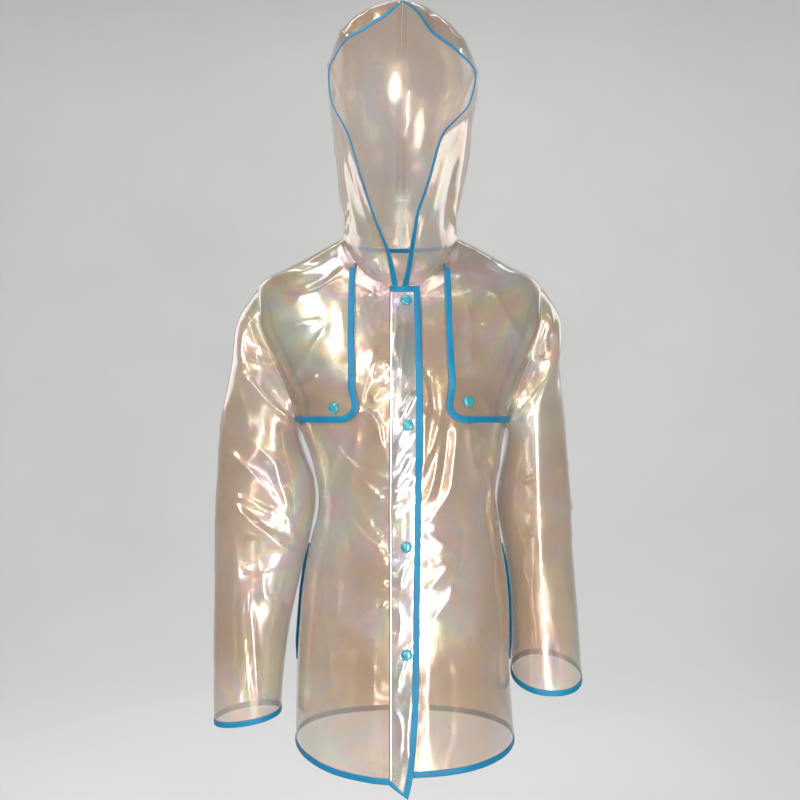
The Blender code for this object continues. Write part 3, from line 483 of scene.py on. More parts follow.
def column(w, row, face, sign, hem):
    """x and z of points on a column: row -1 is the hem, 0 the underarm, 1 the neckline or shoulder."""
    low = mix(hem[0], hem[1], np.maximum(np.cos(w * np.pi / 2), 0) ** 1.5)
    z_low = mix(UNDER_Z, low, np.maximum(-row, 0))
    x_low = BODY_AT["mid"](z_low) + sign * reach(w, BODY_AT["half"](z_low))
    r = np.maximum(row, 0)
    a_top, z_top = top_line(w, face)
    z = mix(UNDER_Z, z_top, r)
    edge_z = mix(UNDER_Z, TIP_Z, r)
    edge = arm_reach(edge_z, face)
    w_edge = np.maximum((w - FLAP_U) / (1 - FLAP_U), 0.0) ** 2
    a_x = mix(reach(w, BODY_AT["half"](UNDER_Z)), a_top, r)
    a_x = a_x + (edge - mix(BODY_AT["half"](UNDER_Z), TIP_HALF, r)) * w_edge
    w_arm = np.arcsin(np.minimum(edge / BODY_AT["half"](edge_z), 1.0) ** (ROUND / 2)) / (np.pi / 2)
    a = mix(reach(w * w_arm, BODY_AT["half"](z)), a_x, smooth((r - .02) / .25))
    up = row > 0
    return np.where(up, BODY_AT["mid"](z) + sign * a, x_low), np.where(up, z, z_low)


def lift(u):
    """The right front rises to meet the placket that crosses the left front."""
    return PLACKET_OUT * np.maximum(1 - u / 0.6, 0.0) ** 2


def body_surface(u, row, face, side):
    """Points of the front or back for arrays of columns u and rows."""
    u, row = np.broadcast_arrays(np.asarray(u, float), np.asarray(row, float))
    sign = SIGN[side]
    hem = HEM[side] if face == "front" else HEM["back"]
    x, z = column(u, row, face, sign, hem)
    if face == "front":
        start = PLACKET_SEAM if side == "right" else UNDERLAP
        x1, z1 = column(np.full_like(u, FLAP_U), row, face, sign, hem)
        near = u < FLAP_U
        xs = mix(start, x1, u / FLAP_U)
        f = np.minimum(np.abs(xs - BODY_AT["mid"](NECK_FRONT_Z)) / NECK_HALF, 1.0)
        zs = mix(UNDER_Z, mix(NECK_FRONT_Z, HIGH_Z, f ** 2.6), row)
        x = np.where(near, xs, x)
        z = np.where(near & (row > 0), zs, z)
    y = depth(x, z, face)
    y_end = np.where(u >= HIGH_U - 1e-6, 0.0, y)
    y = np.where(row > 0, mix(y, y_end, np.maximum(row, 0) ** 30), y)
    y = y + (lift(u) if face == "front" and side == "right" else 0.0)
    return np.stack([x, -y if face == "front" else y, z], -1)


def form_normal(p, face="front"):
    """Outward normal of the body's form at the points' x and z."""
    x, z = p[..., 0], p[..., 2]
    d = 2.0
    s = -1.0 if face == "front" else 1.0
    dx = (depth(x + d, z, face) - depth(x - d, z, face)) / (2 * d)
    dz = (depth(x, z + d, face) - depth(x, z - d, face)) / (2 * d)
    return unit(np.stack([-dx, np.full_like(dx, s), -dz], -1))


def grid_normals(g, centre, closed=False):
    """Normals of a grid of points, turned away from centre."""
    if closed:
        du = np.roll(g, -1, axis=1) - np.roll(g, 1, axis=1)
    else:
        du = np.gradient(g, axis=1)
    n = np.cross(du, np.gradient(g, axis=0))
    length = np.linalg.norm(n, axis=2, keepdims=True)
    n = np.where(length > 1e-7, n / np.maximum(length, 1e-9), 0)
    for i in range(len(n)):
        bad = np.linalg.norm(n[i], axis=1) < .5
        if bad.any():
            n[i][bad] = unit(n[max(i - 1, 0)][bad] + [0, 0, 1e-6])
    inside = np.sum(n * (g - centre)) < 0
    return -n if inside else n


# ---------------------------------------------------------------- where the seams are
SEAM_ROWS = (1 - np.cos(np.linspace(0, np.pi, 60))) / 2


def neckline(side, n=60):
    front = body_surface(np.linspace(0, HIGH_U, n), np.ones(n), "front", side)
    back = body_surface(np.linspace(HIGH_U, 0, n), np.ones(n), "back", side)
    front[-1, 1] = back[0, 1] = 0.0
    return np.vstack([front, back[1:]])


def armhole_loop(side, rows=SEAM_ROWS):
    """Top of the shoulder, down the front seam to the underarm, up the back seam."""
    one = np.ones(len(rows))
    front = body_surface(one, rows[::-1], "front", side)
    back = body_surface(one, rows, "back", side)
    front[0, 1] = front[-1, 1] = 0.0
    return np.vstack([front, back[1:-1]])


def even(path, n):
    """n points at even distances along a path."""
    step = np.r_[0, np.cumsum(np.linalg.norm(np.diff(path, axis=0), axis=1))]
    return np.stack([np.interp(np.linspace(0, step[-1], n), step, path[:, k]) for k in range(3)], 1)


def dist_tree(paths):
    pts = np.vstack([even(p, max(int(np.linalg.norm(np.diff(p, axis=0), axis=1).sum() / 3), 8)) for p in paths])
    tree = KDTree(len(pts))
    for i, p in enumerate(pts):
        tree.insert(p, i)
    tree.balance()
    return tree


def near(tree, pts):
    return np.array([tree.find(p)[2] for p in pts.reshape(-1, 3)]).reshape(pts.shape[:-1])


lower = np.linspace(-1, 0, 90)
shoulder = np.linspace(HIGH_U, 1, 60)
SEAMS = []
for side in ("right", "left"):
    SEAMS += [neckline(side), np.vstack([armhole_loop(side), armhole_loop(side)[:1]]),
              body_surface(np.ones(90), lower, "front", side),
              body_surface(shoulder, np.ones(60), "front", side)]
BODY_SEAMS = dist_tree(SEAMS)
ARM_SEAMS = {s: dist_tree([np.vstack([armhole_loop(s), armhole_loop(s)[:1]])]) for s in SIGN}


# ---------------------------------------------------------------- creases
def seen(p):
    """Across and up, as the creases in front are laid out: seen level from 1.4 m."""
    k = 1400 / (1400 + p[..., 1])
    return np.stack([-5.8 + (p[..., 0] + 5.8) * k, -217.5 + (p[..., 2] + 217.5) * k], -1)


def spline(pts, n):
    """A smooth line through a few points."""
    pts = np.asarray(pts, float)
    ext = np.vstack([2 * pts[0] - pts[1], pts, 2 * pts[-1] - pts[-2]])
    out = []
    for i in range(1, len(ext) - 2):
        t = np.linspace(0, 1, n, endpoint=False)[:, None]
        a, b, c, d = ext[i - 1], ext[i], ext[i + 1], ext[i + 2]
        out.append(.5 * (2 * b + (c - a) * t + (2 * a - 5 * b + 4 * c - d) * t ** 2 + (3 * b - a - 3 * c + d) * t ** 3))
    return np.vstack(out + [pts[-1:]])


def creases(uv, rows):
    """Sum of the creases over points uv. A crease is steep on one side and soft on the
    other, strongest in its middle, and runs out at both ends."""
    flat = uv.reshape(-1, 2)
    total = np.zeros(len(flat))
    for height, w_a, w_b, pts in rows:
        line = spline(pts, 5)
        lo, hi = line.min(0) - 4.5 * max(w_a, w_b), line.max(0) + 4.5 * max(w_a, w_b)
        pick = np.where(np.all((flat > lo) & (flat < hi), axis=1))[0]
        if not len(pick):
            continue
        p = flat[pick]
        best = np.full(len(p), 1e9)
        side = np.zeros(len(p))
        along = np.zeros(len(p))
        step = np.r_[0, np.cumsum(np.linalg.norm(np.diff(line, axis=0), axis=1))]
        for i in range(len(line) - 1):
            a, d = line[i], line[i + 1] - line[i]
            t = np.clip(((p - a) @ d) / max(d @ d, 1e-9), 0, 1)
            off = p - a - t[:, None] * d
            dist = np.hypot(off[:, 0], off[:, 1])
            better = dist < best
            best = np.where(better, dist, best)
            side = np.where(better, d[0] * off[:, 1] - d[1] * off[:, 0], side)
            along = np.where(better, step[i] + t * (step[i + 1] - step[i]), along)
        w = np.where(side > 0, w_a, w_b)
        q = best / w
        shape = np.exp(-(np.sqrt(q * q + .04) - .2) * 1.25)
        s = along / step[-1]
        ends = smooth(s / .22) * smooth((1 - s) / .22)
        total[pick] += height * shape * (.18 + .82 * ends) * np.exp(-np.maximum(best - 3.2 * w, 0) / 4)
    return total.reshape(uv.shape[:-1])


def swells(p, amount, seed):
    """Slow unevenness of hanging film, with a few ridges in it."""
    out = np.empty(len(p.reshape(-1, 3)))
    for i, (x, y, z) in enumerate(p.reshape(-1, 3)):
        a = noise.noise(Vector((x / 62 + seed, y / 62, z / 95)))
        b = noise.noise(Vector((x / 27 + seed + 9, y / 27 + 3 * a, z / 38)))
        c = noise.noise(Vector((x / 13 + 2 * a, y / 13 + seed, z / 17 + 2 * b)))
        out[i] = 1.5 * a + .75 * (.45 - abs(b)) + .22 * (.4 - abs(c))
    return out.reshape(p.shape[:-1]) * amount


def shape_front(p, amount=1.0):
    """Moves points on or just off the front, all layers alike."""
    n = form_normal(p)
    d = creases(seen(p), CREASES["front"]) + swells(p * (1, 0, 1), 1.0, 1.7)
    fade = smooth((near(BODY_SEAMS, p) - 4) / 18)
    return p + n * (d * fade * amount)[..., None]


def shape_back(p):
    n = form_normal(p, "back")
    d = creases(p[..., [0, 2]], CREASES["back"]) + swells(p * (1, 0, 1), 1.15, 31.3)
    fade = smooth((near(BODY_SEAMS, p) - 4) / 18)
    return p + n * (d * fade)[..., None]


def shape_arm(p, n, side):
    front = smooth(.5 - n[..., 1] * 1.6)
    d = creases(seen(p), CREASES["arm_" + side]) * front
    d = d + creases(p[..., [0, 2]] * (SIGN[side], 1), CREASES["arm_back"]) * (1 - front)
    d = d + swells(p, .9, 50.0 if side == "left" else 60.0)
    inner = smooth((n[..., 0] * SIGN[side] + .95) / .5)
    fade = smooth((near(ARM_SEAMS[side], p) - 1) / 12)
    return p + n * (d * fade * (.25 + .75 * inner))[..., None]


def shape_hood(p, n, side):
    front = smooth(.35 - n[..., 1] * 1.2) * smooth((70 - p[..., 1]) / 50)
    d = creases(seen(p), CREASES["hood_front"]) * front
    d = d + creases(p[..., [1, 2]], CREASES["hood_" + side]) * (.35 + .65 * np.abs(n[..., 0]))
    d = d + swells(p, .8, 80.0)
    fade = smooth((near(BODY_SEAMS, p) - 2) / 14) * smooth((np.abs(p[..., 0] + 3) - .5) / 10 + 1 * (p[..., 1] < -50))
    return p + n * (d * fade)[..., None]


# ---------------------------------------------------------------- meshes
def new_piece(name, verts, faces, mat, smooth_shade=True):
    mesh = bpy.data.meshes.new(name)
    mesh.from_pydata((np.asarray(verts) * MM).tolist(), [], faces)
    mesh.validate()
    ob = bpy.data.objects.new(name, mesh)
    bpy.context.scene.collection.objects.link(ob)
    mesh.materials.append(mat)
    if smooth_shade:
        mesh.shade_smooth()
    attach(ob, "root")
    return ob


def shell(name, grid, normals, mat, thick=0.5, closed=False, double=None):
    """A thin wall over a grid of points. The argument double, meant to mark where a second layer lies under it, is not
    used.
    """
    rows, cols = grid.shape[:2]
    out, inn = grid + normals * thick / 2, grid - normals * thick / 2
    verts = np.vstack([out.reshape(-1, 3), inn.reshape(-1, 3)])
    n = rows * cols
    span = cols if closed else cols - 1
    i, j = np.meshgrid(np.arange(rows - 1), np.arange(span), indexing="ij")
    k = (j + 1) % cols
    a, b, c, d = (x.ravel() for x in (i * cols + j, i * cols + k, (i + 1) * cols + k, (i + 1) * cols + j))
    u, v = grid[rows // 2, 1] - grid[rows // 2, 0], grid[rows // 2 + 1, 0] - grid[rows // 2, 0]
    faces = np.stack([a, b, c, d], 1)
    if np.dot(np.cross(u, v), normals[rows // 2, 0]) < 0:
        faces = faces[:, ::-1]
    faces = faces.tolist() + (faces[:, ::-1] + n).tolist()
    rim = [list(range(span + 1)), [(rows - 1) * cols + x for x in range(span + 1)]]
    if closed:
        rim = [[x if x % cols or x == r[0] else x for x in r[:-1]] + [r[0]] for r in rim]
        rim = [[r[0] + (x % cols) for x in range(cols)] + [r[0]] for r in rim]
    else:
        rim += [[x * cols for x in range(rows)], [x * cols + cols - 1 for x in range(rows)]]
    for r in rim:
        faces += [[r[x], r[x + 1], r[x + 1] + n, r[x] + n] for x in range(len(r) - 1)]
    ob = new_piece(name, verts, faces, mat)
    bm = bmesh.new()
    bm.from_mesh(ob.data)
    bmesh.ops.remove_doubles(bm, verts=bm.verts[:], dist=0.00002)
    bmesh.ops.recalc_face_normals(bm, faces=bm.faces[:])
    bm.to_mesh(ob.data)
    bm.free()
    ob.data.shade_smooth()
    ob.data.set_sharp_from_angle(angle=math.radians(60))
    return ob


def inset(cross, dists):
    """Points at distances along each line of points, the first of which is on the edge."""
    out = []
    for line in cross:
        step = np.r_[0, np.cumsum(np.linalg.norm(np.diff(line, axis=0), axis=1))]
        away = unit(line[0] - line[1])
        row = [line[0] - away * d if d < 0 else None for d in dists]
        for i, d in enumerate(dists):
            row[i] = line[0] - away * d if d <= 0 else np.array([np.interp(d, step, line[:, k]) for k in range(3)])
        out.append(row)
    return np.array(out)


FOLD = [(8.0, .34), (7.7, .62), (6.6, .80), (4.4, .92), (2.2, .98), (.7, .92), (-.1, .68), (-.5, .30)]
FOLD = FOLD + [(d, -h) for d, h in reversed(FOLD)]


def ribbon(name, edge_lines, normal, mat, fold=FOLD, closed=False, width=8.0, thick=1.0):
    """A folded tape. edge_lines are points at the distances 0, 2, 4, 6 and 8 mm from the edge
    (scaled to width) for each station, normal the film's outward normal there."""
    n = len(edge_lines)
    known = np.array([0, .25, .5, .75, 1.0]) * width
    mid = edge_lines[:, 2]
    if closed:
        run = np.roll(mid, -1, axis=0) - np.roll(mid, 1, axis=0)
    else:
        run = np.gradient(mid, axis=0)
    rings = []
    for i in range(n):
        line = edge_lines[i]
        m = unit(np.cross(run[i], line[-1] - line[0]))
        m = m if np.dot(m, normal[i]) > 0 else -m
        away = unit(line[0] - line[1])
        puff = thick * (1 + .10 * noise.noise(Vector(mid[i] / 9)))
        ring = []
        for d, h in fold:
            d = d * width / 8.0
            p = line[0] - away * d if d < 0 else np.array([np.interp(d, known, line[:, k]) for k in range(3)])
            ring.append(p + m * h * puff)
        rings.append(ring)
    rings = np.array(rings)
    k = len(fold)
    verts = rings.reshape(-1, 3)
    faces = []
    for i in range(n if closed else n - 1):
        i2 = (i + 1) % n
        faces += [[i * k + j, i * k + (j + 1) % k, i2 * k + (j + 1) % k, i2 * k + j] for j in range(k)]
    if not closed:
        faces += [list(range(k)), [(n - 1) * k + j for j in range(k)][::-1]]
    ob = new_piece(name, verts, faces, mat)
    bm = bmesh.new()
    bm.from_mesh(ob.data)
    bmesh.ops.recalc_face_normals(bm, faces=bm.faces[:])
    bm.to_mesh(ob.data)
    bm.free()
    ob.data.shade_smooth()
    ob.data.set_sharp_from_angle(angle=math.radians(70))
    return ob


def stitch_row(lines):
    """Stitches as small capsules. lines: (points, normals) pairs, in millimetres."""
    verts, faces = [], []
    pitch, length, radius = 3.3, 2.5, .24
    for pts, nrm in lines:
        pts, nrm = np.asarray(pts, float), np.asarray(nrm, float)
        step = np.r_[0, np.cumsum(np.linalg.norm(np.diff(pts, axis=0), axis=1))]
        for s in np.arange(1.0, step[-1] - length - .5, pitch):
            a, b = (np.array([np.interp(x, step, pts[:, k]) for k in range(3)]) for x in (s, s + length))
            n = unit(np.array([np.interp(s + length / 2, step, nrm[:, k]) for k in range(3)]))
            t = unit(b - a)
            w = unit(np.cross(n, t))
            n = np.cross(t, w)
            base = len(verts)
            for f, r, sink in ((0, .35, .30), (.18, .95, .04), (.5, 1.0, 0), (.82, .95, .04), (1, .35, .30)):
                c = a + (b - a) * f - n * sink
                for q in range(6):
                    an = q * math.pi / 3
                    verts.append(c + (w * math.cos(an) + n * math.sin(an)) * radius * r)
            for r in range(4):
                for q in range(6):
                    faces.append([base + r * 6 + q, base + r * 6 + (q + 1) % 6, base + r * 6 + 6 + (q + 1) % 6,
                                  base + r * 6 + 6 + q])
            faces.append([base + q for q in range(6)][::-1])
            faces.append([base + 24 + q for q in range(6)])
    return verts, faces


def tape_stitches(name, edge_lines, normal, mat, at=.78, width=8.0, lift_off=.86, closed=False):
    """One row through a folded tape, seen on both faces."""
    known = np.array([0, .25, .5, .75, 1.0]) * width
    p = np.array([[np.interp(at * width, known, line[:, k]) for k in range(3)] for line in edge_lines])
    run = np.gradient(p, axis=0)
    m = unit(np.cross(run, edge_lines[:, -1] - edge_lines[:, 0]))
    m = np.where(np.sum(m * normal, axis=1, keepdims=True) > 0, m, -m)
    if closed:
        p, m = np.vstack([p, p[:1]]), np.vstack([m, m[:1]])
    return new_piece(name, *stitch_row([(p + m * lift_off, m), (p - m * lift_off, -m)]), mat)


FIVE = [0.0, 2.0, 4.0, 6.0, 8.0]

# ---------------------------------------------------------------- panels
U_FRONT = np.r_[np.linspace(0, FLAP_U, 26)[:-1], np.linspace(FLAP_U, HIGH_U, 8)[:-1], np.linspace(HIGH_U, 1, 50)]
ROWS = np.r_[np.linspace(-1, 0, 151)[:-1], 1 - (1 - np.linspace(0, 1, 100)) ** 1.25]
panels, panel_n = {}, {}
for side in ("right", "left"):
    uu, rr = np.meshgrid(U_FRONT, ROWS)
    g = shape_front(body_surface(uu, rr, "front", side))
    panels["front_" + side] = g
    panel_n["front_" + side] = grid_normals(g, np.array([0, 0, g[..., 2].mean()]))
U_BACK = np.linspace(0, 1, 74)
uu, rr = np.meshgrid(U_BACK, ROWS)
half_r = body_surface(uu, rr, "back", "right")[:, ::-1]
half_l = body_surface(uu, rr, "back", "left")
g = shape_back(np.concatenate([half_r[:, :-1], half_l], axis=1))
panels["back"] = g
panel_n["back"] = grid_normals(g, np.array([0, 0, g[..., 2].mean()]))

# ---------------------------------------------------------------- sleeves
sleeves, sleeve_n = {}, {}
RINGS, AROUND = 200, 108


def sleeve_grid(side):
    tab = SLEEVE[side]
    sign = SIGN[side]
    mids = np.stack([(tab["outer"] + tab["inner"]) / 2, (tab["outer_z"] + tab["inner_z"]) / 2], 1)
    along = np.r_[0, np.cumsum(np.linalg.norm(np.diff(mids, axis=0), axis=1))]
    at = {k: curve(along, tab[k]) for k in tab}
    loop = armhole_loop(side)
    n = len(SEAM_ROWS) - 1
    front = even(loop[:n + 1], AROUND // 2 + 1)
    back = even(np.vstack([loop[n:], loop[:1]]), AROUND // 2 + 1)
    loop = np.vstack([front, back[1:-1]])
    phi = np.arange(AROUND) * 2 * np.pi / AROUND
    c, d = np.cos(phi), np.sin(phi)
    c, d = np.sign(c) * np.abs(c) ** .94, np.sign(d) * np.abs(d) ** .94

    def ring(s):
        outer = np.array([sign * at["outer"](s), at["mid_y"](s), at["outer_z"](s)])
        inner = np.array([sign * at["inner"](s), at["mid_y"](s), at["inner_z"](s)])
        middle, half = (outer + inner) / 2, (outer - inner) / 2
        pts = middle + half * c[:, None] + np.array([0, -1, 0]) * (at["half_y"](s) * d)[:, None]
        pts[:, 2] -= CUFF_DIP[side] * d * (s / along[-1]) ** 3
        return pts

    low = (1 - np.cos(phi)) / 2
    start = loop + np.stack([sign * (.3 + .5 * low), 0 * low, .3 * low], 1)
    dev = start - ring(0.0)
    grid = []
    for s in along[-1] * (np.arange(RINGS + 1) / RINGS) ** 1.05:
        grid.append(ring(s) + dev * (1 - smooth(s / 90)))
    return np.array(grid)


for side in ("right", "left"):
    g = sleeve_grid(side)
    n = grid_normals(g, g.mean(axis=1, keepdims=True), closed=True)
    g = shape_arm(g, n, side)
    sleeves[side] = g
    sleeve_n[side] = grid_normals(g, g.mean(axis=1, keepdims=True), closed=True)


# ---------------------------------------------------------------- hood
def bezier(p0, p1, p2, p3, t):
    t = t[:, None]
    return p0 * (1 - t) ** 3 + 3 * p1 * t * (1 - t) ** 2 + 3 * p2 * t * t * (1 - t) + p3 * t ** 3


def hood_row(at, v, us, side):
    """A row runs from the face edge round the side of the head to the middle seam."""
    edge = np.array([float(at[k](v)) for k in ("edge_x", "edge_y", "edge_z")])
    mid = np.array([float(at[k](v)) for k in ("side_x", "side_y", "side_z")])
    seam = np.array([float(at[k](v)) for k in ("seam_x", "seam_y", "seam_z")])
    seam[0] += SIGN[side] * mix(.1, .3, smooth((v - .7) / .3))
    along = (seam - edge) * (0, 1, 1)
    along /= max(np.linalg.norm(along), 1e-9)
    a = np.clip(us / 0.45, 0, 1)
    length = np.linalg.norm(mid - edge)
    first = bezier(edge, mix(edge, mid, .35), mid - along * length * .38, mid, a)
    b = np.clip((us - 0.45) / 0.55, 0, 1)
    length = abs(np.dot(seam - mid, along))
    cross = np.array([-SIGN[side], 0, 0]) * abs(seam[0] - mid[0])
    second = bezier(mid, mid + along * length * .55, seam - cross * .5, seam, b)
    return np.where((us < 0.45)[:, None], first, second)


HOOD_ROWS, HOOD_COLS = 124, 84


def hood_grid(side):
    at = curves(HOOD[side], "v")
    neck = neckline(side)
    start_x = float(HOOD[side]["edge_x"][0])
    keep = neck[(neck[:, 0] - start_x) * SIGN[side] > 1.0]
    first = neck[0] + (neck[1] - neck[0]) * ((start_x - neck[0, 0]) / (neck[1, 0] - neck[0, 0]))
    neck = even(np.vstack([first, keep]), HOOD_COLS + 1)
    neck[:, 2] += .7
    us = np.linspace(0, 1, HOOD_COLS + 1)
    base = hood_row(at, 0.0, us, side)
    grid = []
    for v in np.linspace(0, 1, HOOD_ROWS + 1):
        fade = max(1 - v / 0.25, 0.0) ** 2
        grid.append(hood_row(at, v, us, side) + (neck - base) * fade)
    return np.array(grid)


hoods, hood_n = {}, {}
for side in ("right", "left"):
    g = hood_grid(side)
    centre = np.array([-3.0, 10.0, 150.0])
    n = grid_normals(g, centre)
    g = shape_hood(g, n, side)
    g[-1] = g[-1].mean(axis=0)
    hoods[side] = g
    hood_n[side] = grid_normals(g, centre)


# ---------------------------------------------------------------- storm flaps
def flap_points(side, edge_in, u, t):
    """A point of the flap: u across from the inner edge (FLAP_U) to the armhole, t up from
    the lower edge. edge_in draws the inner and lower edges in by a width, with their corner."""
    radius = FLAP_CORNER - edge_in
    j = (u - FLAP_U) / (1 - FLAP_U)
    k = np.clip(t / .2, 0, 1) * radius            # height above the lower edge in the corner
    z_top = top_line(u, "front")[1]
    r_corner = (FLAP_Z + edge_in + k - UNDER_Z) / (z_top - UNDER_Z)
    row = np.where(t < .2, r_corner, mix((FLAP_Z + FLAP_CORNER - UNDER_Z) / (z_top - UNDER_Z), 1.0,
                                         np.clip((t - .2) / .8, 0, 1)))
    p = body_surface(u, row, "front", side)
    rise = (radius - k) / radius
    turn = radius * (1 - np.sqrt(np.maximum(1 - rise ** 2, 0.0)))
    weight = (1 - j) ** 2
    x = p[..., 0] + SIGN[side] * (turn + edge_in) * weight
    y = -depth(x, p[..., 2], "front") - (lift(u) if side == "right" else 0.0)
    moved = weight > 1e-6
    p = np.stack([np.where(moved, x, p[..., 0]), np.where(moved & (row < .995), y, p[..., 1]), p[..., 2]], -1)
    inner = np.clip((1 - j) / .04, 0, 1)[..., None]
    low = smooth((1.0 - row) / .06)[..., None]
    return p + form_normal(p) * FLAP_OUT * (.25 + .75 * inner) * (.3 + .7 * low)


U_FLAP = np.r_[np.linspace(FLAP_U, HIGH_U, 12)[:-1], np.linspace(HIGH_U, 1, 48)]
T_FLAP = np.r_[.2 * (1 - np.cos(np.linspace(0, np.pi / 2, 12)))[:-1], np.linspace(.2, 1, 66)]
flaps, flap_n, flap_lines = {}, {}, {}
for side in ("right", "left"):
    uu, tt = np.meshgrid(U_FLAP, T_FLAP)
    g = shape_front(flap_points(side, 0.0, uu, tt))
    flaps[side] = g
    flap_n[side] = grid_normals(g, np.array([0, 0, g[..., 2].mean()]))
    lines = []
    for d in FIVE:
        t_in = T_FLAP[::-1]
        down = flap_points(side, d, np.full(len(t_in), FLAP_U), t_in)
        along = flap_points(side, d, U_FLAP[1:], np.zeros(len(U_FLAP) - 1))
        lines.append(shape_front(np.vstack([down, along])))
    flap_lines[side] = np.stack(lines, 1)


# ---------------------------------------------------------------- placket and facing
def strip(x_left, x_right, z_low, z_high, out, rows, cols):
    c, f = np.meshgrid(np.linspace(0, 1, cols), np.linspace(0, 1, rows))
    z = mix(z_low(c), z_high, f)
    x = mix(x_left, x_right(z), c)
    p = np.stack([x, -depth(x, z, "front"), z], -1)
    return p + form_normal(p) * out


placket = shape_front(strip(PLACKET_SEAM + .2, PLACKET_AT["edge"], lambda c: mix(-721.5, -739.0, c), -64.5,
                            PLACKET_OUT, 240, 19))
facing = shape_front(strip(UNDERLAP, lambda z: 24.0 + 0 * z, lambda c: -706.0 + 0 * c, -66.0, -FACING_IN, 200, 14))


def placket_line(d):
    """The placket's outline drawn in by d: across the top, down the free edge and along the foot."""
    top, foot = -64.5 - d, (-721.5, -739.0)
    xl = PLACKET_SEAM + .2
    xe = float(PLACKET_AT["edge"](top)) - d
    zc = foot[1] + d
    xc = float(PLACKET_AT["edge"](zc)) - d
    pts = [(mix(xl, xe, c), top) for c in np.linspace(0, 1, 14)]
    pts += [(float(PLACKET_AT["edge"](z)) - d, z) for z in np.linspace(top, zc, 190)[1:-1]]
    zl = foot[0] + d
    pts += [(mix(xc, xl, c), mix(zc, zl, c)) for c in np.linspace(0, 1, 12)]
    p = np.array([(x, 0.0, z) for x, z in pts])
    p[:, 1] = -depth(p[:, 0], p[:, 2], "front")
    return shape_front(p + form_normal(p) * PLACKET_OUT)


placket_lines = np.stack([placket_line(d) for d in FIVE], 1)


# ---------------------------------------------------------------- materials
def shader_of(name):
    m = bpy.data.materials.new(name)
    m.use_nodes = True
    return m, m.node_tree, m.node_tree.nodes["Principled BSDF"]


def node(nt, kind, **values):
    n = nt.nodes.new(kind)
    for key, value in values.items():
        if key.startswith("in_"):
            n.inputs[key[3:].replace("_", " ")].default_value = value
        else:
            setattr(n, key, value)
    return n


def ramp(nt, fac, stops):
    r = nt.nodes.new("ShaderNodeValToRGB")
    el = r.color_ramp.elements
    while len(el) < len(stops):
        el.new(0.5)
    for e, (pos, col) in zip(el, stops):
        e.position = pos
        e.color = (*col, 1) if len(col) == 3 else col
    nt.links.new(fac, r.inputs["Fac"])
    return r.outputs["Color"]


def math_node(nt, op, a, b=None, clamp=False):
    n = nt.nodes.new("ShaderNodeMath")
    n.operation = op
    n.use_clamp = clamp
    for i, v in enumerate((a, b)):
        if v is None:
            continue
        if isinstance(v, (int, float)):
            n.inputs[i].default_value = v
        else:
            nt.links.new(v, n.inputs[i])
    return n.outputs[0]


def mix_color(nt, fac, a, b, mode="MIX"):
    n = nt.nodes.new("ShaderNodeMix")
    n.data_type = "RGBA"
    n.blend_type = mode
    for key, v in (("Factor", fac), ("A", a), ("B", b)):
        sock = [s for s in n.inputs if s.name == key and s.enabled][0] if key != "Factor" else n.inputs[0]
        if key != "Factor":
            sock = [s for s in n.inputs if s.name == key and s.type == "RGBA"][0]
        if isinstance(v, (int, float)):
            sock.default_value = v
        elif isinstance(v, tuple):
            sock.default_value = (*v, 1)
        else:
            nt.links.new(v, sock)
    return [s for s in n.outputs if s.type == "RGBA"][0]


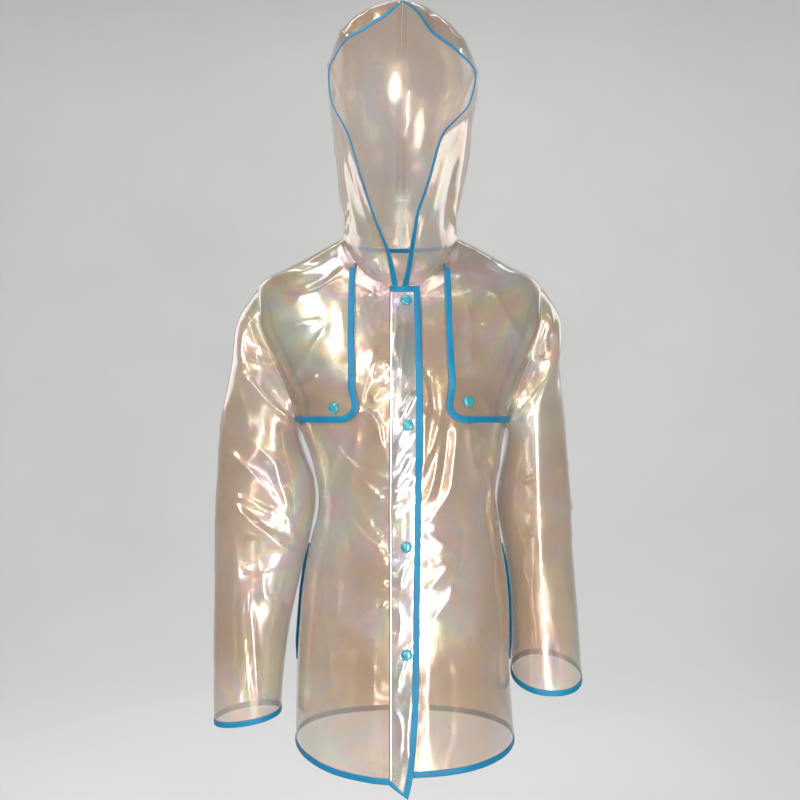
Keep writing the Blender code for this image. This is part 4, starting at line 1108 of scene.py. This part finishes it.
def film_material(name, tint, alpha, metal=.5):
    """Clear film with a pearl coat: broad soft colour, fine interference lines, slight
    unevenness of gloss, and a denser look where two layers are sewn together."""
    m, nt, bsdf = shader_of(name)
    at = node(nt, "ShaderNodeTexCoord").outputs["Object"]

    def noise_at(scale, detail=2.0, rough=.5, distort=0.0):
        n = node(nt, "ShaderNodeTexNoise", in_Scale=scale, in_Detail=detail, in_Roughness=rough, in_Distortion=distort)
        nt.links.new(at, n.inputs["Vector"])
        return n.outputs["Fac"]
    broad = noise_at(6.0, 2.0, .5, .6)
    bands = math_node(nt, "FRACT", math_node(nt, "MULTIPLY", broad, 7.0))
    pearl = ramp(nt, bands, [(0.0, (.95, .70, .74)), (.18, (.96, .90, .66)), (.38, (.66, .94, .78)),
                             (.58, (.62, .84, .98)), (.80, (.80, .70, .97)), (1.0, (.95, .70, .74))])
    fine = math_node(nt, "FRACT", math_node(nt, "MULTIPLY", noise_at(9.0, 1.0, .4, 1.4), 30.0))
    lines = ramp(nt, fine, [(0.0, (.90, .88, .86)), (.5, (1, 1, 1)), (1.0, (.90, .88, .86))])
    patch = math_node(nt, "MULTIPLY", ramp(nt, noise_at(4.2, 3.0, .6), [(.38, (0, 0, 0)), (.62, (1, 1, 1))]), .44)
    color = mix_color(nt, math_node(nt, "ADD", patch, .06), tint, pearl)
    color = mix_color(nt, .55, color, lines, "MULTIPLY")
    haze = ramp(nt, noise_at(2.6, 4.0, .6), [(.3, (.84, .82, .80)), (.7, (1.0, 1.0, 1.0))])
    color = mix_color(nt, .7, color, haze, "MULTIPLY")
    grain = ramp(nt, noise_at(620.0, 3.0, .7), [(.32, (.80, .79, .77)), (.68, (1.06, 1.05, 1.03))])
    color = mix_color(nt, .75, color, grain, "MULTIPLY")
    nt.links.new(color, bsdf.inputs["Base Color"])
    rough = ramp(nt, noise_at(16.0, 4.0, .6), [(.3, (.17, .17, .17)), (.72, (.29, .29, .29))])
    nt.links.new(rough, bsdf.inputs["Roughness"])
    bsdf.inputs["Metallic"].default_value = metal
    bsdf.inputs["IOR"].default_value = 1.52
    bsdf.inputs["Coat Weight"].default_value = 1.0
    bsdf.inputs["Coat Roughness"].default_value = .05
    bsdf.inputs["Coat IOR"].default_value = 1.5
    film = math_node(nt, "ADD", math_node(nt, "MULTIPLY", broad, 560.0), 190.0)
    nt.links.new(film, bsdf.inputs["Thin Film Thickness"])
    bsdf.inputs["Thin Film IOR"].default_value = 1.42
    double = node(nt, "ShaderNodeAttribute", attribute_name="double").outputs["Fac"]
    clear = math_node(nt, "ADD", math_node(nt, "MULTIPLY", noise_at(5.0, 3.0), .08), alpha - .04)
    clear = math_node(nt, "ADD", clear, math_node(nt, "MULTIPLY", double, .07), clamp=True)
    nt.links.new(clear, bsdf.inputs["Alpha"])
    bump = node(nt, "ShaderNodeBump", in_Strength=.32, in_Distance=.0007)
    nt.links.new(noise_at(95.0, 3.0, .55, .8), bump.inputs["Height"])
    bump2 = node(nt, "ShaderNodeBump", in_Strength=.34, in_Distance=.0002)
    nt.links.new(noise_at(520.0, 2.0), bump2.inputs["Height"])
    nt.links.new(bump.outputs["Normal"], bump2.inputs["Normal"])
    nt.links.new(bump2.outputs["Normal"], bsdf.inputs["Normal"])
    return m


def tape_material(name, dark, light):
    """Woven binding tape: fine ribs, a satin sheen, and its blue a little lighter and darker at random."""
    m, nt, bsdf = shader_of(name)
    at = node(nt, "ShaderNodeTexCoord").outputs["Object"]
    n1 = node(nt, "ShaderNodeTexNoise", in_Scale=28.0, in_Detail=4.0, in_Roughness=.6)
    nt.links.new(at, n1.inputs["Vector"])
    n2 = node(nt, "ShaderNodeTexNoise", in_Scale=900.0, in_Detail=2.0, in_Roughness=.7)
    nt.links.new(at, n2.inputs["Vector"])
    base = mix_color(nt, ramp(nt, n1.outputs["Fac"], [(.3, (0, 0, 0)), (.75, (1, 1, 1))]), dark, light)
    weave = ramp(nt, n2.outputs["Fac"], [(.3, (.78, .80, .84)), (.7, (1.08, 1.06, 1.03))])
    nt.links.new(mix_color(nt, .8, base, weave, "MULTIPLY"), bsdf.inputs["Base Color"])
    ribs = []
    for axis in "XYZ":
        w = node(nt, "ShaderNodeTexWave", bands_direction=axis, in_Scale=420.0, in_Distortion=.6, in_Detail=1.0)
        nt.links.new(at, w.inputs["Vector"])
        ribs.append(w.outputs["Fac"])
    height = math_node(nt, "ADD", math_node(nt, "ADD", ribs[0], ribs[1]), ribs[2])
    bump = node(nt, "ShaderNodeBump", in_Strength=.30, in_Distance=.00012)
    nt.links.new(height, bump.inputs["Height"])
    nt.links.new(bump.outputs["Normal"], bsdf.inputs["Normal"])
    rough = ramp(nt, n1.outputs["Fac"], [(.3, (.42, .42, .42)), (.7, (.56, .56, .56))])
    nt.links.new(rough, bsdf.inputs["Roughness"])
    bsdf.inputs["Sheen Weight"].default_value = .04
    bsdf.inputs["Sheen Roughness"].default_value = .4
    bsdf.inputs["Specular IOR Level"].default_value = .28
    return m


def thread_material(name, color):
    m, nt, bsdf = shader_of(name)
    at = node(nt, "ShaderNodeTexCoord").outputs["Object"]
    n = node(nt, "ShaderNodeTexNoise", in_Scale=1400.0, in_Detail=1.0)
    nt.links.new(at, n.inputs["Vector"])
    shade = ramp(nt, n.outputs["Fac"], [(.3, (.7, .7, .7)), (.7, (1.1, 1.1, 1.1))])
    nt.links.new(mix_color(nt, 1.0, color, shade, "MULTIPLY"), bsdf.inputs["Base Color"])
    nt.links.new(ramp(nt, n.outputs["Fac"], [(.3, (.45, .45, .45)), (.7, (.6, .6, .6))]), bsdf.inputs["Roughness"])
    bump = node(nt, "ShaderNodeBump", in_Strength=.4, in_Distance=.00008)
    nt.links.new(n.outputs["Fac"], bump.inputs["Height"])
    nt.links.new(bump.outputs["Normal"], bsdf.inputs["Normal"])
    return m


def snap_material():
    """Moulded plastic: even colour with a faint flow, a soft gloss and a fine moulding grain."""
    m, nt, bsdf = shader_of("turquoise_plastic")
    at = node(nt, "ShaderNodeTexCoord").outputs["Object"]
    n = node(nt, "ShaderNodeTexNoise", in_Scale=160.0, in_Detail=3.0)
    nt.links.new(at, n.inputs["Vector"])
    nt.links.new(ramp(nt, n.outputs["Fac"], [(.3, (.010, .165, .20)), (.7, (.020, .23, .27))]), bsdf.inputs["Base Color"])
    nt.links.new(ramp(nt, n.outputs["Fac"], [(.3, (.24, .24, .24)), (.7, (.34, .34, .34))]), bsdf.inputs["Roughness"])
    fine = node(nt, "ShaderNodeTexNoise", in_Scale=2600.0, in_Detail=1.0)
    nt.links.new(at, fine.inputs["Vector"])
    bump = node(nt, "ShaderNodeBump", in_Strength=.15, in_Distance=.00005)
    nt.links.new(fine.outputs["Fac"], bump.inputs["Height"])
    nt.links.new(bump.outputs["Normal"], bsdf.inputs["Normal"])
    bsdf.inputs["Coat Weight"].default_value = .3
    bsdf.inputs["Coat Roughness"].default_value = .12
    return m


FILM = film_material("pearl_film", (.50, .305, .15), .40)
FILM_DOUBLE = film_material("pearl_film_double", (.47, .335, .21), .42)
FILM_SILVER = film_material("pearl_film_placket", (.38, .365, .33), .62, .6)
# Near-white, nearly opaque film for the strip beside the placket seam: a painted highlight.
PAINTED_HIGHLIGHT_FILM = film_material("pearl_film_painted_highlight", (.86, .85, .82), .86, .25)
TAPE = tape_material("blue_tape", (.0005, .115, .215), (.002, .16, .285))
TAPE_INNER = tape_material("blue_tape_inner", (.001, .15, .31), (.004, .20, .39))
THREAD = thread_material("blue_thread", (.012, .20, .40))
CLEAR_THREAD = thread_material("clear_thread", (.72, .70, .66))
# Near-black: painted shade for the placket seam's gap, used on a strip and on its stitches.
SEAM_SHADE_THREAD = thread_material("painted_seam_shade", (.035, .035, .038))
PLASTIC = snap_material()


def mark_double(ob, trees, width):
    """Marks the vertices that lie within a seam allowance, where the film is doubled."""
    co = np.empty(len(ob.data.vertices) * 3)
    ob.data.vertices.foreach_get("co", co)
    co = co.reshape(-1, 3) / MM
    value = np.zeros(len(co))
    for tree, w in zip(trees, width):
        value = np.maximum(value, 1 - smooth((near(tree, co) - w) / 1.2))
    layer = ob.data.attributes.new("double", "FLOAT", "POINT")
    layer.data.foreach_set("value", value.astype(np.float32))


# ---------------------------------------------------------------- the coat's pieces
def cloth(node_name, grid, normals, mat, closed=False, thick=.5):
    ob = shell("cloth_" + node_name, grid, normals, mat, thick, closed)
    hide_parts(node_name)
    return ob


made = {}
for name in ("back", "front_right", "front_left"):
    made[name] = cloth(name, panels[name], panel_n[name], FILM)
for side in ("right", "left"):
    made["sleeve_" + side] = cloth("sleeve_" + side, sleeves[side], sleeve_n[side], FILM, closed=True)
    made["hood_" + side] = cloth("hood_" + side, hoods[side], hood_n[side], FILM)
    made["storm_flap_" + side] = cloth("storm_flap_" + side, flaps[side], flap_n[side], FILM_DOUBLE)
# The placket's sewn edge rolls in to its seam.
roll = np.clip(1 - (placket[..., 0] - placket[:, :1, 0]) / 2.6, 0, 1)
placket = placket + np.stack([0 * roll, .9 * roll ** 2, 0 * roll], -1)
placket_n = grid_normals(placket, np.array([0, 0, placket[..., 2].mean()]))
facing_n = grid_normals(facing, np.array([0, 0, facing[..., 2].mean()]))
made["placket"] = cloth("placket", placket, placket_n, FILM_SILVER)
made["facing"] = cloth("facing", facing, facing_n, FILM)

hood_middle = dist_tree([hoods["right"][:, -1], ])
edge_right = dist_tree([panels["front_right"][:, 0]])
edge_left = dist_tree([panels["front_left"][:, 0]])
for name, ob in made.items():
    trees, widths = [BODY_SEAMS], [7.0]
    if name.startswith("sleeve"):
        trees, widths = [ARM_SEAMS[name[7:]]], [6.0]
    if name.startswith("hood"):
        trees, widths = trees + [hood_middle], [7.0, 6.0]
    if name == "front_right":
        trees, widths = trees + [edge_right], [7.0, 9.0]
    if name == "front_left":
        trees, widths = trees + [edge_left], [7.0, 12.0]
    if name.startswith("storm"):
        trees, widths = trees, [5.0]
    if name == "placket":
        trees, widths = [edge_right], [9.0]
    if name == "facing":
        trees, widths = [edge_left], [8.0]
    mark_double(ob, trees, widths)


def bound(name, lines, normal, replaces, closed=False, mat=TAPE, stitches=True, **kw):
    ob = ribbon("tape_" + name, lines, normal, mat, closed=closed, **kw)
    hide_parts(*replaces)
    out = [ob]
    if stitches:
        st = tape_stitches("stitches_" + name, lines, normal, THREAD, closed=closed)
        out.append(st)
    return out


# Hem: round the three panels.
fr, ba, fl = (panels[n] for n in ("front_right", "back", "front_left"))
cross = [fr[:9, j] for j in range(fr.shape[1] - 1)]
cross += [(fr[:9, -1] + ba[:9, 0]) / 2] + [ba[:9, j] for j in range(1, ba.shape[1] - 1)]
cross += [(fl[:9, -1] + ba[:9, -1]) / 2] + [fl[:9, j] for j in range(fl.shape[1] - 2, -1, -1)]
lines = inset(np.array(cross), FIVE)
bound("hem", lines, lines[:, 0] * (1, 1, 0), ["hem_binding"])
for side in ("right", "left"):
    g = sleeves[side]
    lines = inset(g[::-1][:9].transpose(1, 0, 2), FIVE)
    bound("cuff_" + side, lines, g[-1] - g[-1].mean(axis=0), ["cuff_binding_" + side],
                                  closed=True)
    lines = flap_lines[side]
    bound("flap_" + side, lines, form_normal(lines[:, 0]), ["flap_binding_" + side])

# Hood opening: up the right half, over the peak and down the left half.
cross = []
for side in ("right", "left"):
    g = hoods[side]
    keep = [i for i in range(0, len(g) - 1) if np.linalg.norm(np.diff(g[i], axis=0), axis=1).sum() > 26]
    rows = [g[i, :9] for i in keep]
    cross.append(rows if side == "right" else rows[::-1])
middle = (hoods["right"][::-1, -1] + hoods["left"][::-1, -1]) / 2
tip = np.vstack([(hoods["right"][-1, 0] + hoods["left"][-1, 0]) / 2, middle[1:9]])
lines = np.concatenate([inset(np.array(cross[0]), FIVE), inset(np.array([tip]), FIVE),
                        inset(np.array(cross[1]), FIVE)])
gap_a, gap_b = lines[len(cross[0]) - 1], lines[len(cross[0]) + 1]
tip_line = lines[len(cross[0])]
parts = []
for a, b in ((gap_a, tip_line), (tip_line, gap_b)):
    parts.append(np.array([mix(a, b, t) for t in np.linspace(0, 1, 7)[1:-1]]))
lines = np.concatenate([lines[:len(cross[0])], parts[0], [tip_line], parts[1], lines[len(cross[0]) + 1:]])
bound("hood", lines, lines[:, 0] - (0, 20, 150), ["hood_binding"])

bound("placket", placket_lines, np.tile([0, -1.0, 0], (len(placket_lines), 1)),
                         ["placket_binding"])
lines = inset(facing[:, ::-1][:, :6], [0, 1.5, 3.0, 4.5, 6.0])
bound("facing", lines, np.tile([0, -1.0, 0], (len(lines), 1)), ["facing_binding"],
                        mat=TAPE_INNER, width=6.0, stitches=False, thick=.8)

# Tapes on the armhole, neck and pocket seams.
FLAT = [(8.0, .2), (7.6, .42), (4.0, .46), (.4, .42), (0.0, .2)]
FLAT = FLAT + [(d, -h) for d, h in reversed(FLAT)]
for side in ("right", "left"):
    sign = SIGN[side]
    loop = even(np.vstack([armhole_loop(side), armhole_loop(side)[:1]]), 181)[:-1]
    inn = loop.mean(axis=0) - loop
    inn[:, 0] = 0
    inn = unit(inn)
    run = np.roll(loop, -1, axis=0) - np.roll(loop, 1, axis=0)
    toward = unit(np.cross(run, inn))
    toward = np.where(toward[:, :1] * -sign > 0, toward, -toward)
    lines = np.stack([loop + inn * 2.0 + toward * d for d in (0, 1.5, 3.0, 4.5, 6.0)], 1)
    bound("armhole_" + side, lines, inn, ["armhole_binding_" + side], closed=True,
                                     fold=FLAT, width=6.0, mat=TAPE_INNER, stitches=False)
    z = np.linspace(-424, -590, 60)
    x = BODY_AT["mid"](z) + sign * (BODY_AT["half"](z) + 1.5)
    open_by = 2.6 * smooth((z + 590) / 30) * smooth((-424 - z) / 30)
    lines = np.stack([np.stack([x + sign * open_by * (1 - d / 8) ** 1.3, 0 * z - 10.0 + d, z], 1) for d in FIVE], 1)
    bound("pocket_" + side, lines, np.tile([sign * .9, -.4, 0], (60, 1)),
                                    ["pocket_binding_" + side], stitches=False, thick=.9)
path = np.vstack([neckline("right"), neckline("left")[::-1][1:]])
path = even(path, 160)
inn = np.array([float(BODY_AT["mid"](0)), -8.0, 0]) - path
inn[:, 2] = 0
inn = unit(inn)
lines = np.stack([path + inn * 2.4 + [0, 0, -1.0 - d] for d in (0, 1.5, 3.0, 4.5, 6.0)], 1)
bound("neck", lines, inn, ["neck_binding"], fold=FLAT, width=6.0, mat=TAPE_INNER, stitches=False)


# ---------------------------------------------------------------- seam stitching
def surface_line(grid, normals, cols_from_edge, rows=slice(None), off=.34):
    return grid[rows, cols_from_edge] + normals[rows, cols_from_edge] * off, normals[rows, cols_from_edge]


def line_at(grid, normals, d, side_index, rows=slice(None), off=.36):
    """A line on a grid, d mm in from its first or last column."""
    g, n = grid[rows], normals[rows]
    if side_index == -1:
        g, n = g[:, ::-1], n[:, ::-1]
    p = inset(g[:, :9], [d])[:, 0]
    m = n[:, 2]
    return p + m * off, m


seam_rows = []
for name, idx in (("front_right", -1), ("front_left", -1), ("back", 0), ("back", -1)):
    seam_rows.append(line_at(panels[name], panel_n[name], 3.2, idx))
for side in ("right", "left"):
    seam_rows.append(line_at(hoods[side][:-4], hood_n[side][:-4], 3.0, -1))
    name = "front_" + side
    g, n = panels[name], panel_n[name]
    j0 = int(np.argmin(abs(U_FRONT - HIGH_U)))
    cross = inset(g[::-1][:9].transpose(1, 0, 2)[j0:], [3.0])[:, 0]
    seam_rows.append((cross + n[-3, j0:] * .36, n[-3, j0:]))
    sl, sn = sleeves[side], sleeve_n[side]
    cross = inset(sl[:9].transpose(1, 0, 2), [3.0])[:, 0]
    closed_p, closed_n = np.vstack([cross, cross[:1]]), np.vstack([sn[2], sn[2][:1]])
    seam_rows.append((closed_p + closed_n * .36, closed_n))
seam = new_piece("stitches_seams", *stitch_row(seam_rows), CLEAR_THREAD)
p = placket[:, 0]
# The placket's folded edge: a pale strip, a painted highlight, beside a dark strip and near-black stitches that paint
# the shade in the gap of its seam.


def strip_along(name, x0, x1, out, mat):
    cols = np.stack([placket[:, 0] + np.array([x, 0, 0]) for x in np.linspace(x0, x1, 5)], 1)
    cols[..., 1] -= out + np.array([-.25, 0, .08, 0, -.25])
    ob = shell(name, cols, grid_normals(cols, np.array([0, 0, cols[..., 2].mean()])), mat, .3, False)
    return ob


# A pale strip along the folded edge: its highlight, painted.
strip_along("placket_painted_highlight", .35, 2.5, 1.15, PAINTED_HIGHLIGHT_FILM)
# A near-black strip in the seam: painted shadow of the gap between the layers.
strip_along("placket_seam_painted_shadow", -.95, .1, .9, SEAM_SHADE_THREAD)
# Real stitches along the seam, in near-black thread and closely spaced to paint the seam's shade.
dark = new_piece("stitches_placket_seam", *stitch_row([(p + placket_n[:, 0] * .55 + [-.35, 0, 0], placket_n[:, 0])]),
                 SEAM_SHADE_THREAD)
for side in ("right", "left"):
    pass


# ---------------------------------------------------------------- snaps
def snap(name, x, z, out):
    """A moulded snap cap: low dome, rolled rim, faint ring and a small gate mark in the middle."""
    profile = [(0, 3.02), (.35, 3.0), (.55, 3.10), (.8, 3.16), (1.6, 3.13), (3.0, 3.0), (4.2, 2.80), (4.9, 2.62),
               (5.15, 2.50), (5.4, 2.48), (6.1, 2.22), (6.7, 1.85), (7.15, 1.38), (7.4, .95), (7.5, .62), (7.46, .30),
               (7.3, .08), (7.0, 0.0), (0, 0.0)]
    here = np.array([[[x, -float(depth(x, z, "front")), z]]])
    n0 = form_normal(here)
    base = shape_front(here + n0 * out)[0, 0]
    eps = 2.5
    around = shape_front(np.array([[[x + eps, 0, z], [x - eps, 0, z], [x, 0, z + eps], [x, 0, z - eps]]])
                         * (1, 0, 1) + np.stack([0 * np.arange(4), -depth(np.array([x + eps, x - eps, x, x]),
                         np.array([z, z, z + eps, z - eps]), "front"), 0 * np.arange(4)], 1)[None])
    n = unit(np.cross(around[0, 0] - around[0, 1], around[0, 2] - around[0, 3]))
    n = n if n[1] < 0 else -n
    n = unit(mix(n0[0, 0], n, .6))
    a = unit(np.cross(n, [0, 0, 1.0]))
    b = np.cross(n, a)
    centre = base + n * .55
    seg = 48
    verts, faces = [centre + n * profile[0][1]], []
    for r, h in profile[1:-1]:
        for q in range(seg):
            t = 2 * math.pi * q / seg
            verts.append(centre + (a * math.cos(t) + b * math.sin(t)) * r + n * h)
    verts.append(centre)
    rings = len(profile) - 2
    for q in range(seg):
        faces.append([0, 1 + q, 1 + (q + 1) % seg])
        for r in range(rings - 1):
            i = 1 + r * seg
            faces.append([i + q, i + seg + q, i + seg + (q + 1) % seg, i + (q + 1) % seg])
        i = 1 + (rings - 1) * seg
        faces.append([i + q, len(verts) - 1, i + (q + 1) % seg])
    ob = new_piece("cap_" + name, verts, faces, PLASTIC)
    bm = bmesh.new()
    bm.from_mesh(ob.data)
    bmesh.ops.recalc_face_normals(bm, faces=bm.faces[:])
    bm.to_mesh(ob.data)
    bm.free()
    ob.data.shade_smooth()
    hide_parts(name)
    return ob


for i in range(4):
    snap("snap_%d" % (i + 1), float(SNAPS["x"][i]), float(SNAPS["z"][i]), PLACKET_OUT)
for side in ("right", "left"):
    x, z = FLAP_SNAP[side]
    snap("flap_snap_" + side, x, z, FLAP_OUT + (float(lift(np.array(.36))) if side == "right" else 0.0))

# ---------------------------------------------------------------- what each piece was cut to: the table is looped over and nothing is done with it
for name, (w, l, area) in SHEETS.items():
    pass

# ---------------------------------------------------------------- studio
scene = bpy.context.scene


def studio_material(name, color, rough):
    m, nt, bsdf = shader_of(name)
    at = node(nt, "ShaderNodeTexCoord").outputs["Object"]
    n = node(nt, "ShaderNodeTexNoise", in_Scale=1.5, in_Detail=4.0)
    nt.links.new(at, n.inputs["Vector"])
    shade = ramp(nt, n.outputs["Fac"], [(.3, (.96, .96, .96)), (.7, (1.0, 1.0, 1.0))])
    nt.links.new(mix_color(nt, 1.0, color, shade, "MULTIPLY"), bsdf.inputs["Base Color"])
    bsdf.inputs["Roughness"].default_value = rough
    return m


# A round studio: pale floor that curves up to a wall all the way round.
FLOOR_Z, RADIUS, BEND, TURNS = -1.36, 5.2, 2.6, 72
prof = [(.0004, FLOOR_Z), (RADIUS - BEND, FLOOR_Z)]
prof += [(RADIUS - BEND + BEND * math.sin(t), FLOOR_Z + BEND * (1 - math.cos(t)))
         for t in np.linspace(0, math.pi / 2, 24)[1:]]
prof += [(RADIUS, 5.0)]
mesh = bpy.data.meshes.new("studio_round")
verts = [(r * math.sin(2 * math.pi * k / TURNS), r * math.cos(2 * math.pi * k / TURNS), z)
         for r, z in prof for k in range(TURNS)]
mesh.from_pydata(verts, [], [[i * TURNS + k, i * TURNS + (k + 1) % TURNS, (i + 1) * TURNS + (k + 1) % TURNS,
                              (i + 1) * TURNS + k] for i in range(len(prof) - 1) for k in range(TURNS)])
mesh.shade_smooth()
sweep = bpy.data.objects.new("studio_round", mesh)
scene.collection.objects.link(sweep)
mesh.materials.append(studio_material("studio_paper", SWEEP_COLOR, .9))

world = bpy.data.worlds.new("studio")
world.use_nodes = True
world.node_tree.nodes["Background"].inputs["Color"].default_value = (*WORLD_COLOR, 1)
world.node_tree.nodes["Background"].inputs["Strength"].default_value = 1.0
scene.world = world


def area(name, at, to, size, energy, color=(1, 1, 1), spread=180):
    data = bpy.data.lights.new(name, "AREA")
    data.shape = "RECTANGLE"
    data.size, data.size_y = size
    data.energy = energy
    data.color = color
    data.spread = math.radians(spread)
    ob = bpy.data.objects.new(name, data)
    ob.location = at
    ob.rotation_euler = (Vector(to) - Vector(at)).to_track_quat("-Z", "Y").to_euler()
    scene.collection.objects.link(ob)
    return ob


for spec in LIGHTS:
    area(*spec)

scene.cycles.transparent_max_bounces = 32
scene.cycles.max_bounces = 6
scene.cycles.diffuse_bounces = 2
scene.cycles.glossy_bounces = 3
scene.view_settings.view_transform = "Standard"
scene.view_settings.exposure = EXPOSURE

cam = bpy.data.cameras.new("camera")
cam.lens = 43.45
cam.sensor_width = 36
cam.clip_end = 30
camera = bpy.data.objects.new("camera", cam)
camera.location = (-0.0058, -1.4, -0.2175)
camera.rotation_euler = (math.pi / 2, 0, 0)
scene.collection.objects.link(camera)
scene.camera = camera
